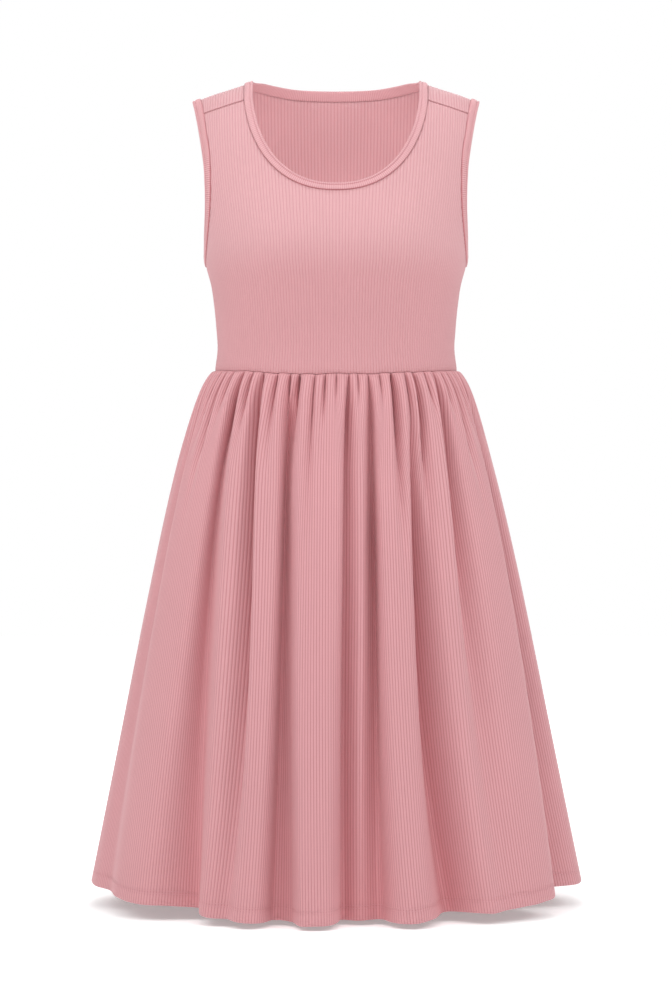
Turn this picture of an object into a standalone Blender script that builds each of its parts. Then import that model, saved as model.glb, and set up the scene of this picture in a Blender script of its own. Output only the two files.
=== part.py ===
"""A sleeveless rib-knit dress with a gathered skirt, in the hollow form it has when worn.

Metres, +Z up. The wearer faces -Y, so the wearer's left is +X. The origin lies midway between
the tops of the two shoulders. Each piece that is cut and sewn is one wall of cloth, open inside.
"""

import math
from collections import namedtuple

import bmesh
import bpy
import numpy as np

# Cloth
WALL = 0.0015
SEAM_GAP = 0.0003
BINDING_WIDTH = 0.0115
BINDING_WALL = 0.0026
BINDING_CROWN = 0.0006

# Bodice, on a general figure
FRAME_HALF_WIDTH = 0.176
SHOULDER_ROUNDING = 0.090
SQUARENESS = 2.3
BUST_SWELL = 0.007
BUST_ACROSS = 0.078
BUST_HEIGHT = -0.200
BUST_SPREAD = 0.048

# Seams and edges
NECK_HALF_WIDTH = 0.1085
NECK_DROP_FRONT = 0.141
NECK_ROUNDNESS = 2.25
NECK_BACK_CENTRE = -0.009
NECK_BACK_SIDE = -0.004
STRAP_TURN = math.radians(48)
STRAP_AT_ARMHOLE = -0.112
BEHIND_RIDGE_SHARE = 0.55
SHOULDER_TIP_HEIGHT = -0.0207
UNDERARM_HEIGHT = -0.2194
SHOULDER_SEAM_AT_TIP = -0.0415
SHOULDER_SEAM_AT_NECK = -0.0290
WAIST_SIDE = -0.342
WAIST_FRONT = -0.350
WAIST_BACK = -0.346

# Skirt
SKIRT_DROP_SIDE = 0.6005
SKIRT_DROP_FRONT = 0.613
SKIRT_DROP_BACK = 0.606
HEM_SQUARENESS = 2.12
POUF_RUN = 0.006
BELLY_DROP = 0.200
GATHER_START = 0.0010
GATHER_RISE = 0.008
FOLD_SPREAD_AT_WAIST = 2.5
FOLD_WIDENING = 0.7
FOLD_FREE_EDGE = 6.0
SEAM_FLAT = 1.3
WALL_INSIDE = -1.0
WALL_HALFWAY = -0.5

Level = namedtuple("Level", "height half_width front_depth back_depth")
FIGURE = (
    Level(-0.3600, 0.1440, 0.1095, 0.0920),
    Level(-0.3450, 0.1428, 0.1075, 0.0895),
    Level(-0.3370, 0.1418, 0.1065, 0.0885),
    Level(-0.3150, 0.1393, 0.1055, 0.0875),
    Level(-0.2950, 0.1405, 0.1065, 0.0875),
    Level(-0.2650, 0.1433, 0.1110, 0.0895),
    Level(-0.2400, 0.1470, 0.1155, 0.0930),
    Level(-0.2194, 0.1525, 0.1185, 0.0965),
    Level(-0.1950, 0.1555, 0.1195, 0.1005),
    Level(-0.1650, 0.1610, 0.1150, 0.1035),
    Level(-0.1300, 0.1670, 0.1065, 0.1035),
    Level(-0.0800, 0.1730, 0.0945, 0.0990),
    Level(-0.0300, 0.1760, 0.0860, 0.0880),
    Level(0.0100, 0.1760, 0.0820, 0.0790),
)

# The line along the top of the shoulders. Inside the neck it only guides the surface.
Ridge = namedtuple("Ridge", "across height")
SHOULDER_RIDGE = (
    Ridge(0.000, 0.0600),
    Ridge(0.050, 0.0450),
    Ridge(0.080, 0.0140),
    Ridge(0.095, 0.0015),
    Ridge(0.108, -0.0040),
    Ridge(0.123, -0.0090),
    Ridge(0.144, -0.0155),
    Ridge(0.158, -0.0205),
    Ridge(0.176, -0.0265),
)

Armhole = namedtuple("Armhole", "height front_across back_across")
ARMHOLE = (
    Armhole(-0.2194, 0.1525, 0.1525),
    Armhole(-0.2085, 0.1515, 0.1520),
    Armhole(-0.1960, 0.1498, 0.1512),
    Armhole(-0.1800, 0.1476, 0.1502),
    Armhole(-0.1450, 0.1446, 0.1494),
    Armhole(-0.1150, 0.1445, 0.1497),
    Armhole(-0.0900, 0.1458, 0.1510),
    Armhole(-0.0640, 0.1502, 0.1535),
    Armhole(-0.0415, 0.1540, 0.1560),
    Armhole(SHOULDER_TIP_HEIGHT, 0.1585, 0.1585),
)

# How the skirt widens: seam size, a sudden pouf under the seam, an even flare, a soft belly.
Flare = namedtuple("Flare", "at_waist pouf flare belly")
SKIRT_SIDE = Flare(0.1428, 0.012, 0.2165, 0.0065)
SKIRT_FRONT = Flare(0.1075, 0.012, 0.1450, 0.0060)
SKIRT_BACK = Flare(0.0895, 0.014, 0.1550, 0.0120)

# One row for each short gather: the angle of its valley round the waist, how deep it is and
# how far down the skirt it runs out.
Gather = namedtuple("Gather", "angle depth run")
FRONT_GATHERS = (
    Gather(-84.0, 0.0045, 0.050),
    Gather(-77.5, 0.0050, 0.045),
    Gather(-71.0, 0.0055, 0.060),
    Gather(-65.0, 0.0045, 0.040),
    Gather(-59.5, 0.0060, 0.085),
    Gather(-54.5, 0.0040, 0.030),
    Gather(-49.0, 0.0060, 0.080),
    Gather(-42.0, 0.0055, 0.045),
    Gather(-35.5, 0.0060, 0.070),
    Gather(-27.5, 0.0060, 0.060),
    Gather(-21.0, 0.0050, 0.045),
    Gather(-16.5, 0.0050, 0.060),
    Gather(-9.7, 0.0050, 0.110),
    Gather(-4.8, 0.0045, 0.035),
    Gather(0.2, 0.0040, 0.025),
    Gather(5.2, 0.0050, 0.080),
    Gather(9.8, 0.0035, 0.025),
    Gather(14.3, 0.0045, 0.080),
    Gather(20.0, 0.0040, 0.022),
    Gather(25.3, 0.0065, 0.140),
    Gather(30.6, 0.0045, 0.050),
    Gather(35.6, 0.0060, 0.120),
    Gather(42.2, 0.0045, 0.028),
    Gather(49.8, 0.0060, 0.080),
    Gather(56.0, 0.0040, 0.035),
    Gather(61.5, 0.0055, 0.075),
    Gather(67.5, 0.0050, 0.050),
    Gather(73.0, 0.0045, 0.045),
    Gather(78.6, 0.0050, 0.055),
    Gather(84.3, 0.0045, 0.045),
)
BACK_SHUFFLE = 1.1
BACK_GATHERS = tuple(
    Gather(
        -row.angle + BACK_SHUFFLE * math.sin(0.31 * row.angle),
        0.95 * row.depth,
        1.05 * row.run,
    )
    for row in reversed(FRONT_GATHERS)
)

# One row for each large fold: the angle of its valley at the waist, a third of the way down
# and at the hem, its depth near the waist, a third down and at the hem, and its half width
# at the hem, in degrees of the waist.
Fold = namedtuple("Fold", "waist third hem top_depth third_depth hem_depth spread")
FRONT_FOLDS = (
    Fold(-71.0, -74.0, -69.0, 0.004, 0.008, 0.028, 5.5),
    Fold(-49.0, -50.0, -43.5, 0.012, 0.023, 0.042, 4.2),
    Fold(-35.5, -31.0, -27.5, 0.010, 0.014, 0.001, 4.5),
    Fold(-18.6, -17.0, -13.2, 0.011, 0.028, 0.047, 4.8),
    Fold(5.2, 3.7, 4.0, 0.009, 0.015, 0.045, 4.2),
    Fold(14.3, 12.8, 10.2, 0.010, 0.024, 0.048, 4.2),
    Fold(33.0, 26.7, 31.0, 0.005, 0.014, 0.060, 4.4),
    Fold(49.8, 47.3, 43.0, 0.011, 0.015, 0.002, 5.0),
    Fold(73.0, 76.0, 69.5, 0.005, 0.012, 0.030, 5.2),
)
BACK_FOLDS = (
    Fold(-71.5, -73.0, -69.0, 0.005, 0.012, 0.030, 6.0),
    Fold(-50.5, -47.0, -45.0, 0.011, 0.020, 0.034, 5.0),
    Fold(-34.5, -31.0, -29.0, 0.009, 0.013, 0.010, 4.6),
    Fold(-13.5, -14.0, -12.0, 0.011, 0.026, 0.050, 4.6),
    Fold(9.5, 8.5, 11.0, 0.010, 0.017, 0.032, 4.6),
    Fold(26.5, 27.0, 30.0, 0.008, 0.021, 0.046, 4.6),
    Fold(49.5, 48.0, 46.0, 0.010, 0.018, 0.020, 5.0),
    Fold(71.5, 73.0, 68.0, 0.005, 0.010, 0.030, 6.0),
)
THIRD_DOWN = 0.32
NEAR_WAIST = 0.08

# Mesh density
PANEL_STRAP_COLUMNS = 5
PANEL_NECK_COLUMNS = 7
PANEL_SEAM_ROWS = 6
PANEL_ARMHOLE_ROWS = 8
PANEL_STRAP_ROWS_FRONT = 6
PANEL_STRAP_ROWS_BACK = 9
NARROW_STEP = 0.04
UNDERARM_CROWDING = 1.7
BAND_STEPS_ACROSS = 3
NUDGE = 1e-4
SKIRT_UPPER_ROWS = (0.0, 0.012, 0.030, 0.056, 0.092)
SKIRT_LOWER_ROWS = (0.15, 0.23, 0.33, 0.45, 0.58, 0.72, 0.86, 1.0)

# Colours of the knit, as linear RGB
PINK_LIGHT = (0.76, 0.42, 0.45, 1.0)
PINK_DEEP = (0.64, 0.31, 0.33, 1.0)
KNIT_ROUGHNESS = 0.88

FRONT = 1.0
BACK = -1.0


def read_table(rows, column, at):
    """Reads a smooth curve through one column of a table, at places in its first column."""
    table = np.array(rows)
    places = table[:, 0]
    values = table[:, rows[0]._fields.index(column)]
    slopes = np.gradient(values, places)
    at = np.clip(at, places[0], places[-1])
    low = np.clip(np.searchsorted(places, at) - 1, 0, len(places) - 2)
    span = places[low + 1] - places[low]
    t = (at - places[low]) / span
    start = values[low] * (1 + 2 * t) * (1 - t) ** 2 + slopes[low] * span * t * (1 - t) ** 2
    end = values[low + 1] * t**2 * (3 - 2 * t) + slopes[low + 1] * span * t**2 * (t - 1)
    return start + end


# The figure. A place on it has an angle round the body, 0 at the middle and 90 degrees at a
# side, and a reach from the shoulder's ridge, positive down the front, negative down the back.


def drop_at(reach):
    """Height lost below the ridge: round over the shoulder, then straight down."""
    reach = np.abs(reach)
    rounded = SHOULDER_ROUNDING * (1 - np.cos(np.minimum(reach / SHOULDER_ROUNDING, math.pi / 2)))
    return rounded + np.maximum(reach - SHOULDER_ROUNDING * math.pi / 2, 0)


def reach_at(drop):
    """The reach from the ridge that loses this much height."""
    bend = np.arccos(np.clip(1 - drop / SHOULDER_ROUNDING, 0, 1))
    return SHOULDER_ROUNDING * bend + np.maximum(drop - SHOULDER_ROUNDING, 0)


def fullness(angle, squareness):
    """Share of the depth that is left at an angle, on a rounded-square section."""
    left = np.clip(1 - np.abs(np.sin(angle)) ** squareness, 0, 1)
    return np.sign(np.cos(angle)) * left ** (1 / squareness)


def ridge_height(angle):
    return read_table(SHOULDER_RIDGE, "height", FRAME_HALF_WIDTH * np.abs(np.sin(angle)))


def bust_swell(across, height):
    """The soft swell of the front over a general bust."""
    sideways = (np.abs(across) - BUST_ACROSS) / BUST_SPREAD
    upwards = (height - BUST_HEIGHT) / BUST_SPREAD
    return BUST_SWELL * np.exp(-(sideways**2) - upwards**2)


def figure_point(angle, reach):
    """The place in space of an angle and a reach, as an array whose last axis is x, y, z."""
    height = ridge_height(angle) - drop_at(reach)
    across = read_table(FIGURE, "half_width", height) * np.sin(angle)
    front = read_table(FIGURE, "front_depth", height) + bust_swell(across, height)
    back = read_table(FIGURE, "back_depth", height)
    lift = np.sin(np.minimum(np.abs(reach) / SHOULDER_ROUNDING, math.pi / 2))
    depth = np.where(reach > 0, -front, back) * fullness(angle, SQUARENESS) * lift
    return np.stack([across, depth, height], axis=-1)


def on_figure(across, height, side):
    """The angle and reach of a point known by how far across and how high it lies."""
    half_width = read_table(FIGURE, "half_width", height)
    angle = np.arcsin(np.clip(across / half_width, -1, 1))
    reach = side * reach_at(np.maximum(ridge_height(angle) - height, 0))
    return np.stack([angle, reach], axis=-1)


# The edges of the bodice's panels, each as angles and reaches along shares from 0 to 1. Those
# of the shoulder, neck and armhole are the wearer's left ones, and the right ones mirror them.


def waist_height(angle, side):
    middle = WAIST_FRONT if side == FRONT else WAIST_BACK
    return middle + (WAIST_SIDE - middle) * np.sin(angle) ** 2


def waist_edge(share, side):
    """The waist seam, from the wearer's right side seam to the left one."""
    angle = (share - 0.5) * math.pi
    drop = ridge_height(angle) - waist_height(angle, side)
    return np.stack([angle, side * reach_at(drop)], axis=-1)


def side_seam(share, side):
    """Up from the waist to the underarm."""
    height = WAIST_SIDE + (UNDERARM_HEIGHT - WAIST_SIDE) * share
    angle = np.full_like(share, math.pi / 2)
    return np.stack([angle, side * reach_at(ridge_height(angle) - height)], axis=-1)


def armhole_edge(start_height, end_height, share, side):
    """The armhole's seam between two heights. A back panel's ends in front of the ridge."""
    start = side * reach_at(SHOULDER_TIP_HEIGHT - start_height)
    end = reach_at(SHOULDER_TIP_HEIGHT - end_height)
    if end_height < SHOULDER_SEAM_AT_TIP:
        end = side * end
    reach = start + (end - start) * share
    height = SHOULDER_TIP_HEIGHT - drop_at(reach)
    front = read_table(ARMHOLE, "front_across", height)
    back = read_table(ARMHOLE, "back_across", height)
    is_front = reach > 0
    return on_figure(np.where(is_front, front, back), height, np.where(is_front, FRONT, BACK))


def neck_turn_at_seam():
    """How far round the neck's curve, from the middle of the front, the shoulder seam starts."""
    return math.acos((-SHOULDER_SEAM_AT_NECK / NECK_DROP_FRONT) ** (NECK_ROUNDNESS / 2))


def neck_across(turn):
    return NECK_HALF_WIDTH * np.abs(np.sin(turn)) ** (2 / NECK_ROUNDNESS)


def front_neckline(turn):
    """The front neck seam, by turns from the middle of the front."""
    height = -NECK_DROP_FRONT * np.abs(np.cos(turn)) ** (2 / NECK_ROUNDNESS)
    return on_figure(neck_across(turn), height, FRONT)


def back_neckline(turn):
    """The back neck seam, by turns from the middle of the back to the shoulder's ridge."""
    across = NECK_HALF_WIDTH * np.sin(turn)
    rise = NECK_BACK_SIDE - NECK_BACK_CENTRE
    height = NECK_BACK_CENTRE + rise * (across / NECK_HALF_WIDTH) ** 2
    return on_figure(across, height, BACK)


def neck_middle(side):
    """The lower part of the neck seam, from its middle to where the straps begin."""
    turn = np.linspace(0, STRAP_TURN, PANEL_NECK_COLUMNS + 1)
    return front_neckline(turn) if side == FRONT else back_neckline(turn)


def neck_beside_strap(side):
    """The upper part of the neck seam, up to the shoulder seam, with a narrow last step."""
    top = neck_turn_at_seam()
    if side == FRONT:
        return front_neckline(STRAP_TURN + (top - STRAP_TURN) * strap_shares(side))
    share = strap_shares(side)
    over = np.clip((share - BEHIND_RIDGE_SHARE) / (1 - BEHIND_RIDGE_SHARE), 0, 1)[:, None]
    turn = STRAP_TURN + (math.pi / 2 - STRAP_TURN) * np.minimum(share / BEHIND_RIDGE_SHARE, 1)
    at_ridge = np.array([on_figure(NECK_HALF_WIDTH, NECK_BACK_SIDE, BACK)[0], 0.0])
    at_seam = on_figure(neck_across(top), SHOULDER_SEAM_AT_NECK, FRONT)
    in_front = at_ridge + (at_seam - at_ridge) * over
    return np.where(over > 0, in_front, back_neckline(turn))


def strap_shares(side):
    """Shares up a strap, with a narrow last step beside the shoulder seam."""
    steps = PANEL_STRAP_ROWS_FRONT if side == FRONT else PANEL_STRAP_ROWS_BACK
    even = np.linspace(0, 1, steps + 1)
    return np.insert(even, steps, 1 - NARROW_STEP)


def shoulder_seam(side):
    """The forward shoulder seam, from the neck to the tip."""
    share = np.linspace(0, 1, PANEL_STRAP_COLUMNS + 1)
    start = neck_across(neck_turn_at_seam())
    end = read_table(ARMHOLE, "front_across", SHOULDER_SEAM_AT_TIP)
    height = SHOULDER_SEAM_AT_NECK + (SHOULDER_SEAM_AT_TIP - SHOULDER_SEAM_AT_NECK) * share
    return on_figure(start + (end - start) * share, height, FRONT)


def lower_side(side):
    """The side seam and the lower armhole, whose rows crowd at the underarm."""
    seam = side_seam(np.linspace(0, 1, PANEL_SEAM_ROWS + 1), side)
    crowded = np.linspace(0, 1, PANEL_ARMHOLE_ROWS + 1) ** UNDERARM_CROWDING
    armhole = armhole_edge(UNDERARM_HEIGHT, STRAP_AT_ARMHOLE, crowded, side)
    return np.concatenate([seam[:-1], armhole])


def upper_armhole(side):
    return armhole_edge(STRAP_AT_ARMHOLE, SHOULDER_SEAM_AT_TIP, strap_shares(side), side)


def shares_along(edge):
    """How far along an edge each of its points lies, from 0 to 1."""
    steps = np.linalg.norm(np.diff(edge, axis=0), axis=1)
    total = np.concatenate([[0], np.cumsum(steps)])
    return total / total[-1]


def stretched(bottom, top, start, end):
    """A grid of places stretched between four edges: two across and two that go up."""
    u = shares_along(bottom)[None, :, None]
    v = shares_along(end)[:, None, None]
    between_across = (1 - v) * bottom[None] + v * top[None]
    between_up = (1 - u) * start[:, None] + u * end[:, None]
    corners = (1 - v) * ((1 - u) * bottom[0] + u * bottom[-1])
    corners = corners + v * ((1 - u) * top[0] + u * top[-1])
    return between_across + between_up - corners


def mirrored(places):
    """The same places on the wearer's right, in the opposite order."""
    return places[..., ::-1, :] * (-1, 1)


def bodice_places(side):
    """Angles and reaches of a whole panel, empty between its two straps."""
    neck = neck_middle(side)
    up = lower_side(side)
    share = np.linspace(0, 1, PANEL_STRAP_COLUMNS + 1)[:, None]
    strap_base = neck[-1] + (up[-1] - neck[-1]) * share
    half_top = np.concatenate([neck[:-1], strap_base])
    top = np.concatenate([mirrored(half_top)[:-1], half_top])
    bottom = waist_edge(np.linspace(0, 1, len(top)), side)
    lower = stretched(bottom, top, up * (-1, 1), up)
    strap = stretched(strap_base, shoulder_seam(side), neck_beside_strap(side), upper_armhole(side))
    upper = np.full((len(strap), len(top), 2), np.nan)
    upper[:, -len(share) :] = strap
    upper[:, : len(share)] = mirrored(strap)
    return np.concatenate([lower, upper[1:]])


def bodice_points(side):
    """A bodice panel's outer face, half a seam's gap from its neighbours."""
    places = bodice_places(side)
    points = figure_point(places[..., 0], places[..., 1])
    points[..., 1] -= side * SEAM_GAP / 2
    points[0, :, 2] += SEAM_GAP / 2
    if side == BACK:
        points[-1, :, 1] += SEAM_GAP / 2
        points[-1, :, 2] += SEAM_GAP / 2
    return points if side == FRONT else points[:, ::-1]


# The skirt. A place on it has a grain angle, where its thread leaves the waist seam, and a
# fall, 0 at the waist and 1 at the hem.


def widen(size, drop):
    """One half size of the skirt at a drop below the waist seam."""
    pouf = size.pouf * (1 - np.exp(-drop / POUF_RUN))
    belly = size.belly * (drop / BELLY_DROP) * np.exp(1 - drop / BELLY_DROP)
    return size.at_waist + pouf + size.flare * drop + belly


def through_three(fall, at_waist, at_third, at_hem):
    """A curve through values at the waist, a third of the way down and at the hem."""
    first = (fall - THIRD_DOWN) * (fall - 1) / THIRD_DOWN
    second = fall * (fall - 1) / (THIRD_DOWN * (THIRD_DOWN - 1))
    third = fall * (fall - THIRD_DOWN) / (1 - THIRD_DOWN)
    return at_waist * first + at_third * second + at_hem * third


def grain_to_angle(grain, fall, folds):
    """The threads lean with the folds: the angle that a grain angle has come to at a fall."""
    anchors = np.array([-90.0] + [fold.waist for fold in folds] + [90.0])
    reached = np.stack(
        [np.full_like(fall, -90.0)]
        + [through_three(fall, fold.waist, fold.third, fold.hem) for fold in folds]
        + [np.full_like(fall, 90.0)]
    )
    rows = [np.interp(grain, anchors, reached[:, row]) for row in range(len(fall))]
    return np.stack(rows)


def fold_depth(fold, fall):
    """How far a fold's valley lies inside the skirt's form."""
    falls = (0.0, NEAR_WAIST, THIRD_DOWN, 1.0)
    depths = (0.0, fold.top_depth, fold.third_depth, fold.hem_depth)
    return np.interp(fall, falls, depths)


def fold_valleys(grain, fall, folds):
    """The large folds' valleys, as a depth for each row of falls and column of grains."""
    total = np.zeros((len(fall), len(grain)))
    for fold in folds:
        spread = FOLD_SPREAD_AT_WAIST + (fold.spread - FOLD_SPREAD_AT_WAIST) * fall**FOLD_WIDENING
        offset = (grain[None] - fold.waist) / spread[:, None]
        total += fold_depth(fold, fall)[:, None] * np.exp(-(offset**2))
    from_seam = (90 - np.abs(grain)) / FOLD_FREE_EDGE
    return total * np.clip(from_seam, 0, 1)[None]


def gather_valleys(grain, fall, gathers):
    """The short gathers' valleys. Between two gathers the cloth comes back to its form."""
    middles = [(a.angle + b.angle) / 2 for a, b in zip(gathers, gathers[1:])]
    ridges = [SEAM_FLAT - 90] + middles + [90 - SEAM_FLAT]
    drop = fall * SKIRT_DROP_SIDE
    total = np.zeros((len(fall), len(grain)))
    for gather, before, after in zip(gathers, ridges, ridges[1:]):
        phase = np.interp(grain, (before, gather.angle, after), (0, 1, 0), 0, 0)
        valley = (1 - np.cos(math.pi * phase)) / 2
        rise = GATHER_START + (gather.depth - GATHER_START) * (1 - np.exp(-drop / GATHER_RISE))
        total += (rise * np.exp(-((drop / gather.run) ** 2)))[:, None] * valley[None]
    return total


def skirt_columns(gathers):
    """Grain angles with a column on each valley, each ridge and halfway between."""
    columns = [-90.0, SEAM_FLAT - 90]
    for gather, after in zip(gathers, gathers[1:] + (None,)):
        ridge = (gather.angle + after.angle) / 2 if after else 90 - SEAM_FLAT
        columns += [(columns[-1] + gather.angle) / 2, gather.angle]
        columns += [(gather.angle + ridge) / 2, ridge]
    return np.array(columns + [90.0])


def skirt_points(grain, fall, side):
    """The skirt's outer face, a row for each fall and a column for each grain angle."""
    folds = FRONT_FOLDS if side == FRONT else BACK_FOLDS
    gathers = FRONT_GATHERS if side == FRONT else BACK_GATHERS
    angle = np.radians(grain_to_angle(grain, fall, folds))
    drop = fall[:, None] * SKIRT_DROP_SIDE
    half_width = widen(SKIRT_SIDE, drop)
    depth = widen(SKIRT_FRONT if side == FRONT else SKIRT_BACK, drop)
    squareness = HEM_SQUARENESS + (SQUARENESS - HEM_SQUARENESS) * np.exp(-drop / BELLY_DROP)
    inward = fold_valleys(grain, fall, folds) + gather_valleys(grain, fall, gathers)
    facing = np.hypot(depth * np.sin(angle), half_width * np.cos(angle))
    across = half_width * np.sin(angle) - inward * depth * np.sin(angle) / facing
    out = depth * fullness(angle, squareness) - inward * half_width * np.cos(angle) / facing
    middle = SKIRT_DROP_FRONT if side == FRONT else SKIRT_DROP_BACK
    full_drop = middle + (SKIRT_DROP_SIDE - middle) * np.sin(angle) ** 2
    height = waist_height(angle, side) - SEAM_GAP / 2 - fall[:, None] * full_drop
    return np.stack([across, -side * (out + SEAM_GAP / 2), height], axis=-1)


# The bindings. Each is a ring whose width is made from the edge of the panels, moved out.


def binding_points(edge):
    """A strip that leaves a closed edge at right angles, level with the figure's surface."""
    angle, reach = edge[:, 0], edge[:, 1]
    here = figure_point(angle, reach)
    round_body = figure_point(angle + NUDGE, reach) - figure_point(angle - NUDGE, reach)
    down_body = figure_point(angle, reach + NUDGE) - figure_point(angle, reach - NUDGE)
    normal = np.cross(down_body, round_body)
    normal /= np.linalg.norm(normal, axis=1, keepdims=True)
    along = np.roll(here, -1, axis=0) - np.roll(here, 1, axis=0)
    outward = np.cross(normal, along)
    outward /= np.linalg.norm(outward, axis=1, keepdims=True)
    rows = []
    for share in np.linspace(0, 1, BAND_STEPS_ACROSS + 1):
        crown = BINDING_CROWN * math.sin(math.pi * share)
        rows.append(here + outward * (SEAM_GAP + BINDING_WIDTH * share) + normal * crown)
    return np.stack(rows)


def neckband_points():
    """The whole neck: the front from the wearer's right to left, then back round behind."""
    halves = []
    for side in (FRONT, BACK):
        half = np.concatenate([neck_middle(side)[:-1], neck_beside_strap(side)])
        halves.append(np.concatenate([mirrored(half)[:-1], half]))
    return binding_points(np.concatenate([halves[0][:-1], halves[1][:0:-1]]))


def armhole_points():
    """The wearer's left armhole, down its front and up its back."""
    front, back = (
        np.concatenate([lower_side(side)[PANEL_SEAM_ROWS:-1], upper_armhole(side)])
        for side in (FRONT, BACK)
    )
    return binding_points(np.concatenate([front[:0:-1], back[:-1]]))


# Making the objects


def knit(name, colour):
    material = bpy.data.materials.new(name)
    material.use_nodes = True
    shader = material.node_tree.nodes["Principled BSDF"]
    shader.inputs["Base Color"].default_value = colour
    shader.inputs["Roughness"].default_value = KNIT_ROUGHNESS
    shader.inputs["Metallic"].default_value = 0.0
    return material


def grid_mesh(points, is_ring=False):
    """A plane grid laid onto an array of points, its far columns joined where it is a ring."""
    rows, columns = points.shape[:2]
    mesh = bmesh.new()
    bmesh.ops.create_grid(mesh, x_segments=columns - 1, y_segments=rows - 1, size=1.0)
    for vert in mesh.verts:
        column = round((vert.co.x + 1) / 2 * (columns - 1))
        row = round((vert.co.y + 1) / 2 * (rows - 1))
        vert.index = row * columns + column
        vert.co = points[row, column]
    empty = [vert for vert in mesh.verts if math.isnan(vert.co.x)]
    bmesh.ops.delete(mesh, geom=empty, context="VERTS")
    if is_ring:
        bmesh.ops.remove_doubles(mesh, verts=mesh.verts, dist=1e-5)
    return mesh


def thin_columns(mesh, columns, first_row):
    """Drops the columns halfway between valleys and ridges, from the hem up to a row."""
    spare = []
    for edge in mesh.edges:
        places = [divmod(vert.index, columns) for vert in edge.verts]
        upright = places[0][1] == places[1][1]
        between = places[0][1] % 2 == 0 and 0 < places[0][1] < columns - 1
        if upright and between and max(row for row, _ in places) <= first_row:
            spare.append(edge)
    bmesh.ops.dissolve_edges(mesh, edges=spare, use_verts=True)


def add_piece(name, mesh, material, collection, wall=WALL, offset=WALL_INSIDE):
    """A named object whose surface gets the cloth's thickness."""
    data = bpy.data.meshes.new(name)
    mesh.to_mesh(data)
    mesh.free()
    data.materials.append(material)
    data.shade_smooth()
    piece = bpy.data.objects.new(name, data)
    collection.objects.link(piece)
    thickness = piece.modifiers.new("cloth", "SOLIDIFY")
    thickness.thickness = wall
    thickness.offset = offset
    thickness.use_even_offset = True
    thickness.use_rim = True
    return piece


def add_bodice(name, side, collection):
    mesh = grid_mesh(bodice_points(side))
    return add_piece(name, mesh, knit(name + "_knit", PINK_LIGHT), collection)


def add_skirt(name, side, collection):
    gathers = FRONT_GATHERS if side == FRONT else BACK_GATHERS
    grain = skirt_columns(gathers)
    fall = np.array((SKIRT_UPPER_ROWS + SKIRT_LOWER_ROWS)[::-1])
    points = skirt_points(grain, fall, side)
    mesh = grid_mesh(points if side == FRONT else points[:, ::-1])
    thin_columns(mesh, len(grain), len(SKIRT_LOWER_ROWS))
    return add_piece(name, mesh, knit(name + "_knit", PINK_LIGHT), collection)


def add_binding(name, points, collection):
    closed = np.concatenate([points, points[:, :1]], axis=1)
    mesh = grid_mesh(closed, is_ring=True)
    material = knit(name + "_knit", PINK_DEEP)
    return add_piece(name, mesh, material, collection, BINDING_WALL, WALL_HALFWAY)


def clear_scene():
    for item in list(bpy.data.objects):
        bpy.data.objects.remove(item, do_unlink=True)


def build_dress():
    clear_scene()
    dress = bpy.data.collections.new("a_line_dress")
    bpy.context.scene.collection.children.link(dress)
    add_bodice("bodice_front", FRONT, dress)
    add_bodice("bodice_back", BACK, dress)
    add_skirt("skirt_front", FRONT, dress)
    add_skirt("skirt_back", BACK, dress)
    add_binding("neckband", neckband_points(), dress)
    left = armhole_points()
    right = left[:, ::-1] * (-1, 1, 1)
    add_binding("armhole_binding_left", left, dress)
    add_binding("armhole_binding_right", right, dress)


build_dress()
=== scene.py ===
# %% [markdown]
# # A gathered dress in rib knit
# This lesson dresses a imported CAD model. The CAD holds the sewn pieces as plain walls of cloth:
# two bodice panels, two gathered skirt panels and three narrow bindings. Here each wall is
# replaced by a finer one with its ribs, gathers, folds, turned hem and stitching.
# The frame is loaded first, because every piece has to fit it.

# %% Load the frame
import math
from collections import namedtuple

import bmesh
import bpy
import numpy as np
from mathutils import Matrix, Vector


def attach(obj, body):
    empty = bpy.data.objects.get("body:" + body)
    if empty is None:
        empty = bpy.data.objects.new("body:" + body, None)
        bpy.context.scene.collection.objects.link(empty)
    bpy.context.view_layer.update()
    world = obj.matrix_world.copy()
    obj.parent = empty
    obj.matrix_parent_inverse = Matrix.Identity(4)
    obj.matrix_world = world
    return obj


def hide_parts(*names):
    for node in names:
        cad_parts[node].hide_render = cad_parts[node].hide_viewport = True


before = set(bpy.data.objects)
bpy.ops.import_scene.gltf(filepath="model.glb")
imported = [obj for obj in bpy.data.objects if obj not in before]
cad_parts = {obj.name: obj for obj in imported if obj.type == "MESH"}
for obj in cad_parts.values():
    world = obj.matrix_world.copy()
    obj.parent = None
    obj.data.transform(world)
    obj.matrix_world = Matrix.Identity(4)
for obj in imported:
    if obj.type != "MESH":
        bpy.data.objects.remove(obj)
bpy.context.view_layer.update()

# %% [markdown]
# ## Camera
# Clothes are shown from far away with a long lens, so that they keep their proportions. The
# camera looks level along +Y, at half the height of the dress.

# %% Camera
CAMERA_DISTANCE = 3.0
CAMERA_HEIGHT = -0.498
LENS = 90.75

camera_data = bpy.data.cameras.new("camera")
camera_data.lens = LENS
camera_data.sensor_width = 36.0
camera = bpy.data.objects.new("camera", camera_data)
camera.location = (0.0, -CAMERA_DISTANCE, CAMERA_HEIGHT)
camera.rotation_euler = (math.radians(90), 0.0, 0.0)
bpy.context.scene.collection.objects.link(camera)
bpy.context.scene.camera = camera
print("camera looks along +Y from", tuple(camera.location))

# %% [markdown]
# ## Studio
# A white sweep and big soft lamps show knit best: hard light would draw a shadow beside every
# rib. The world is white to the camera and a little weaker as a light, so that the lamps above
# and to the left still model the folds. The floor lies just under the hem. It glows a little,
# and more so further away where the lamps don't reach, so that it stays white with only a soft
# contact shadow.

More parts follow.
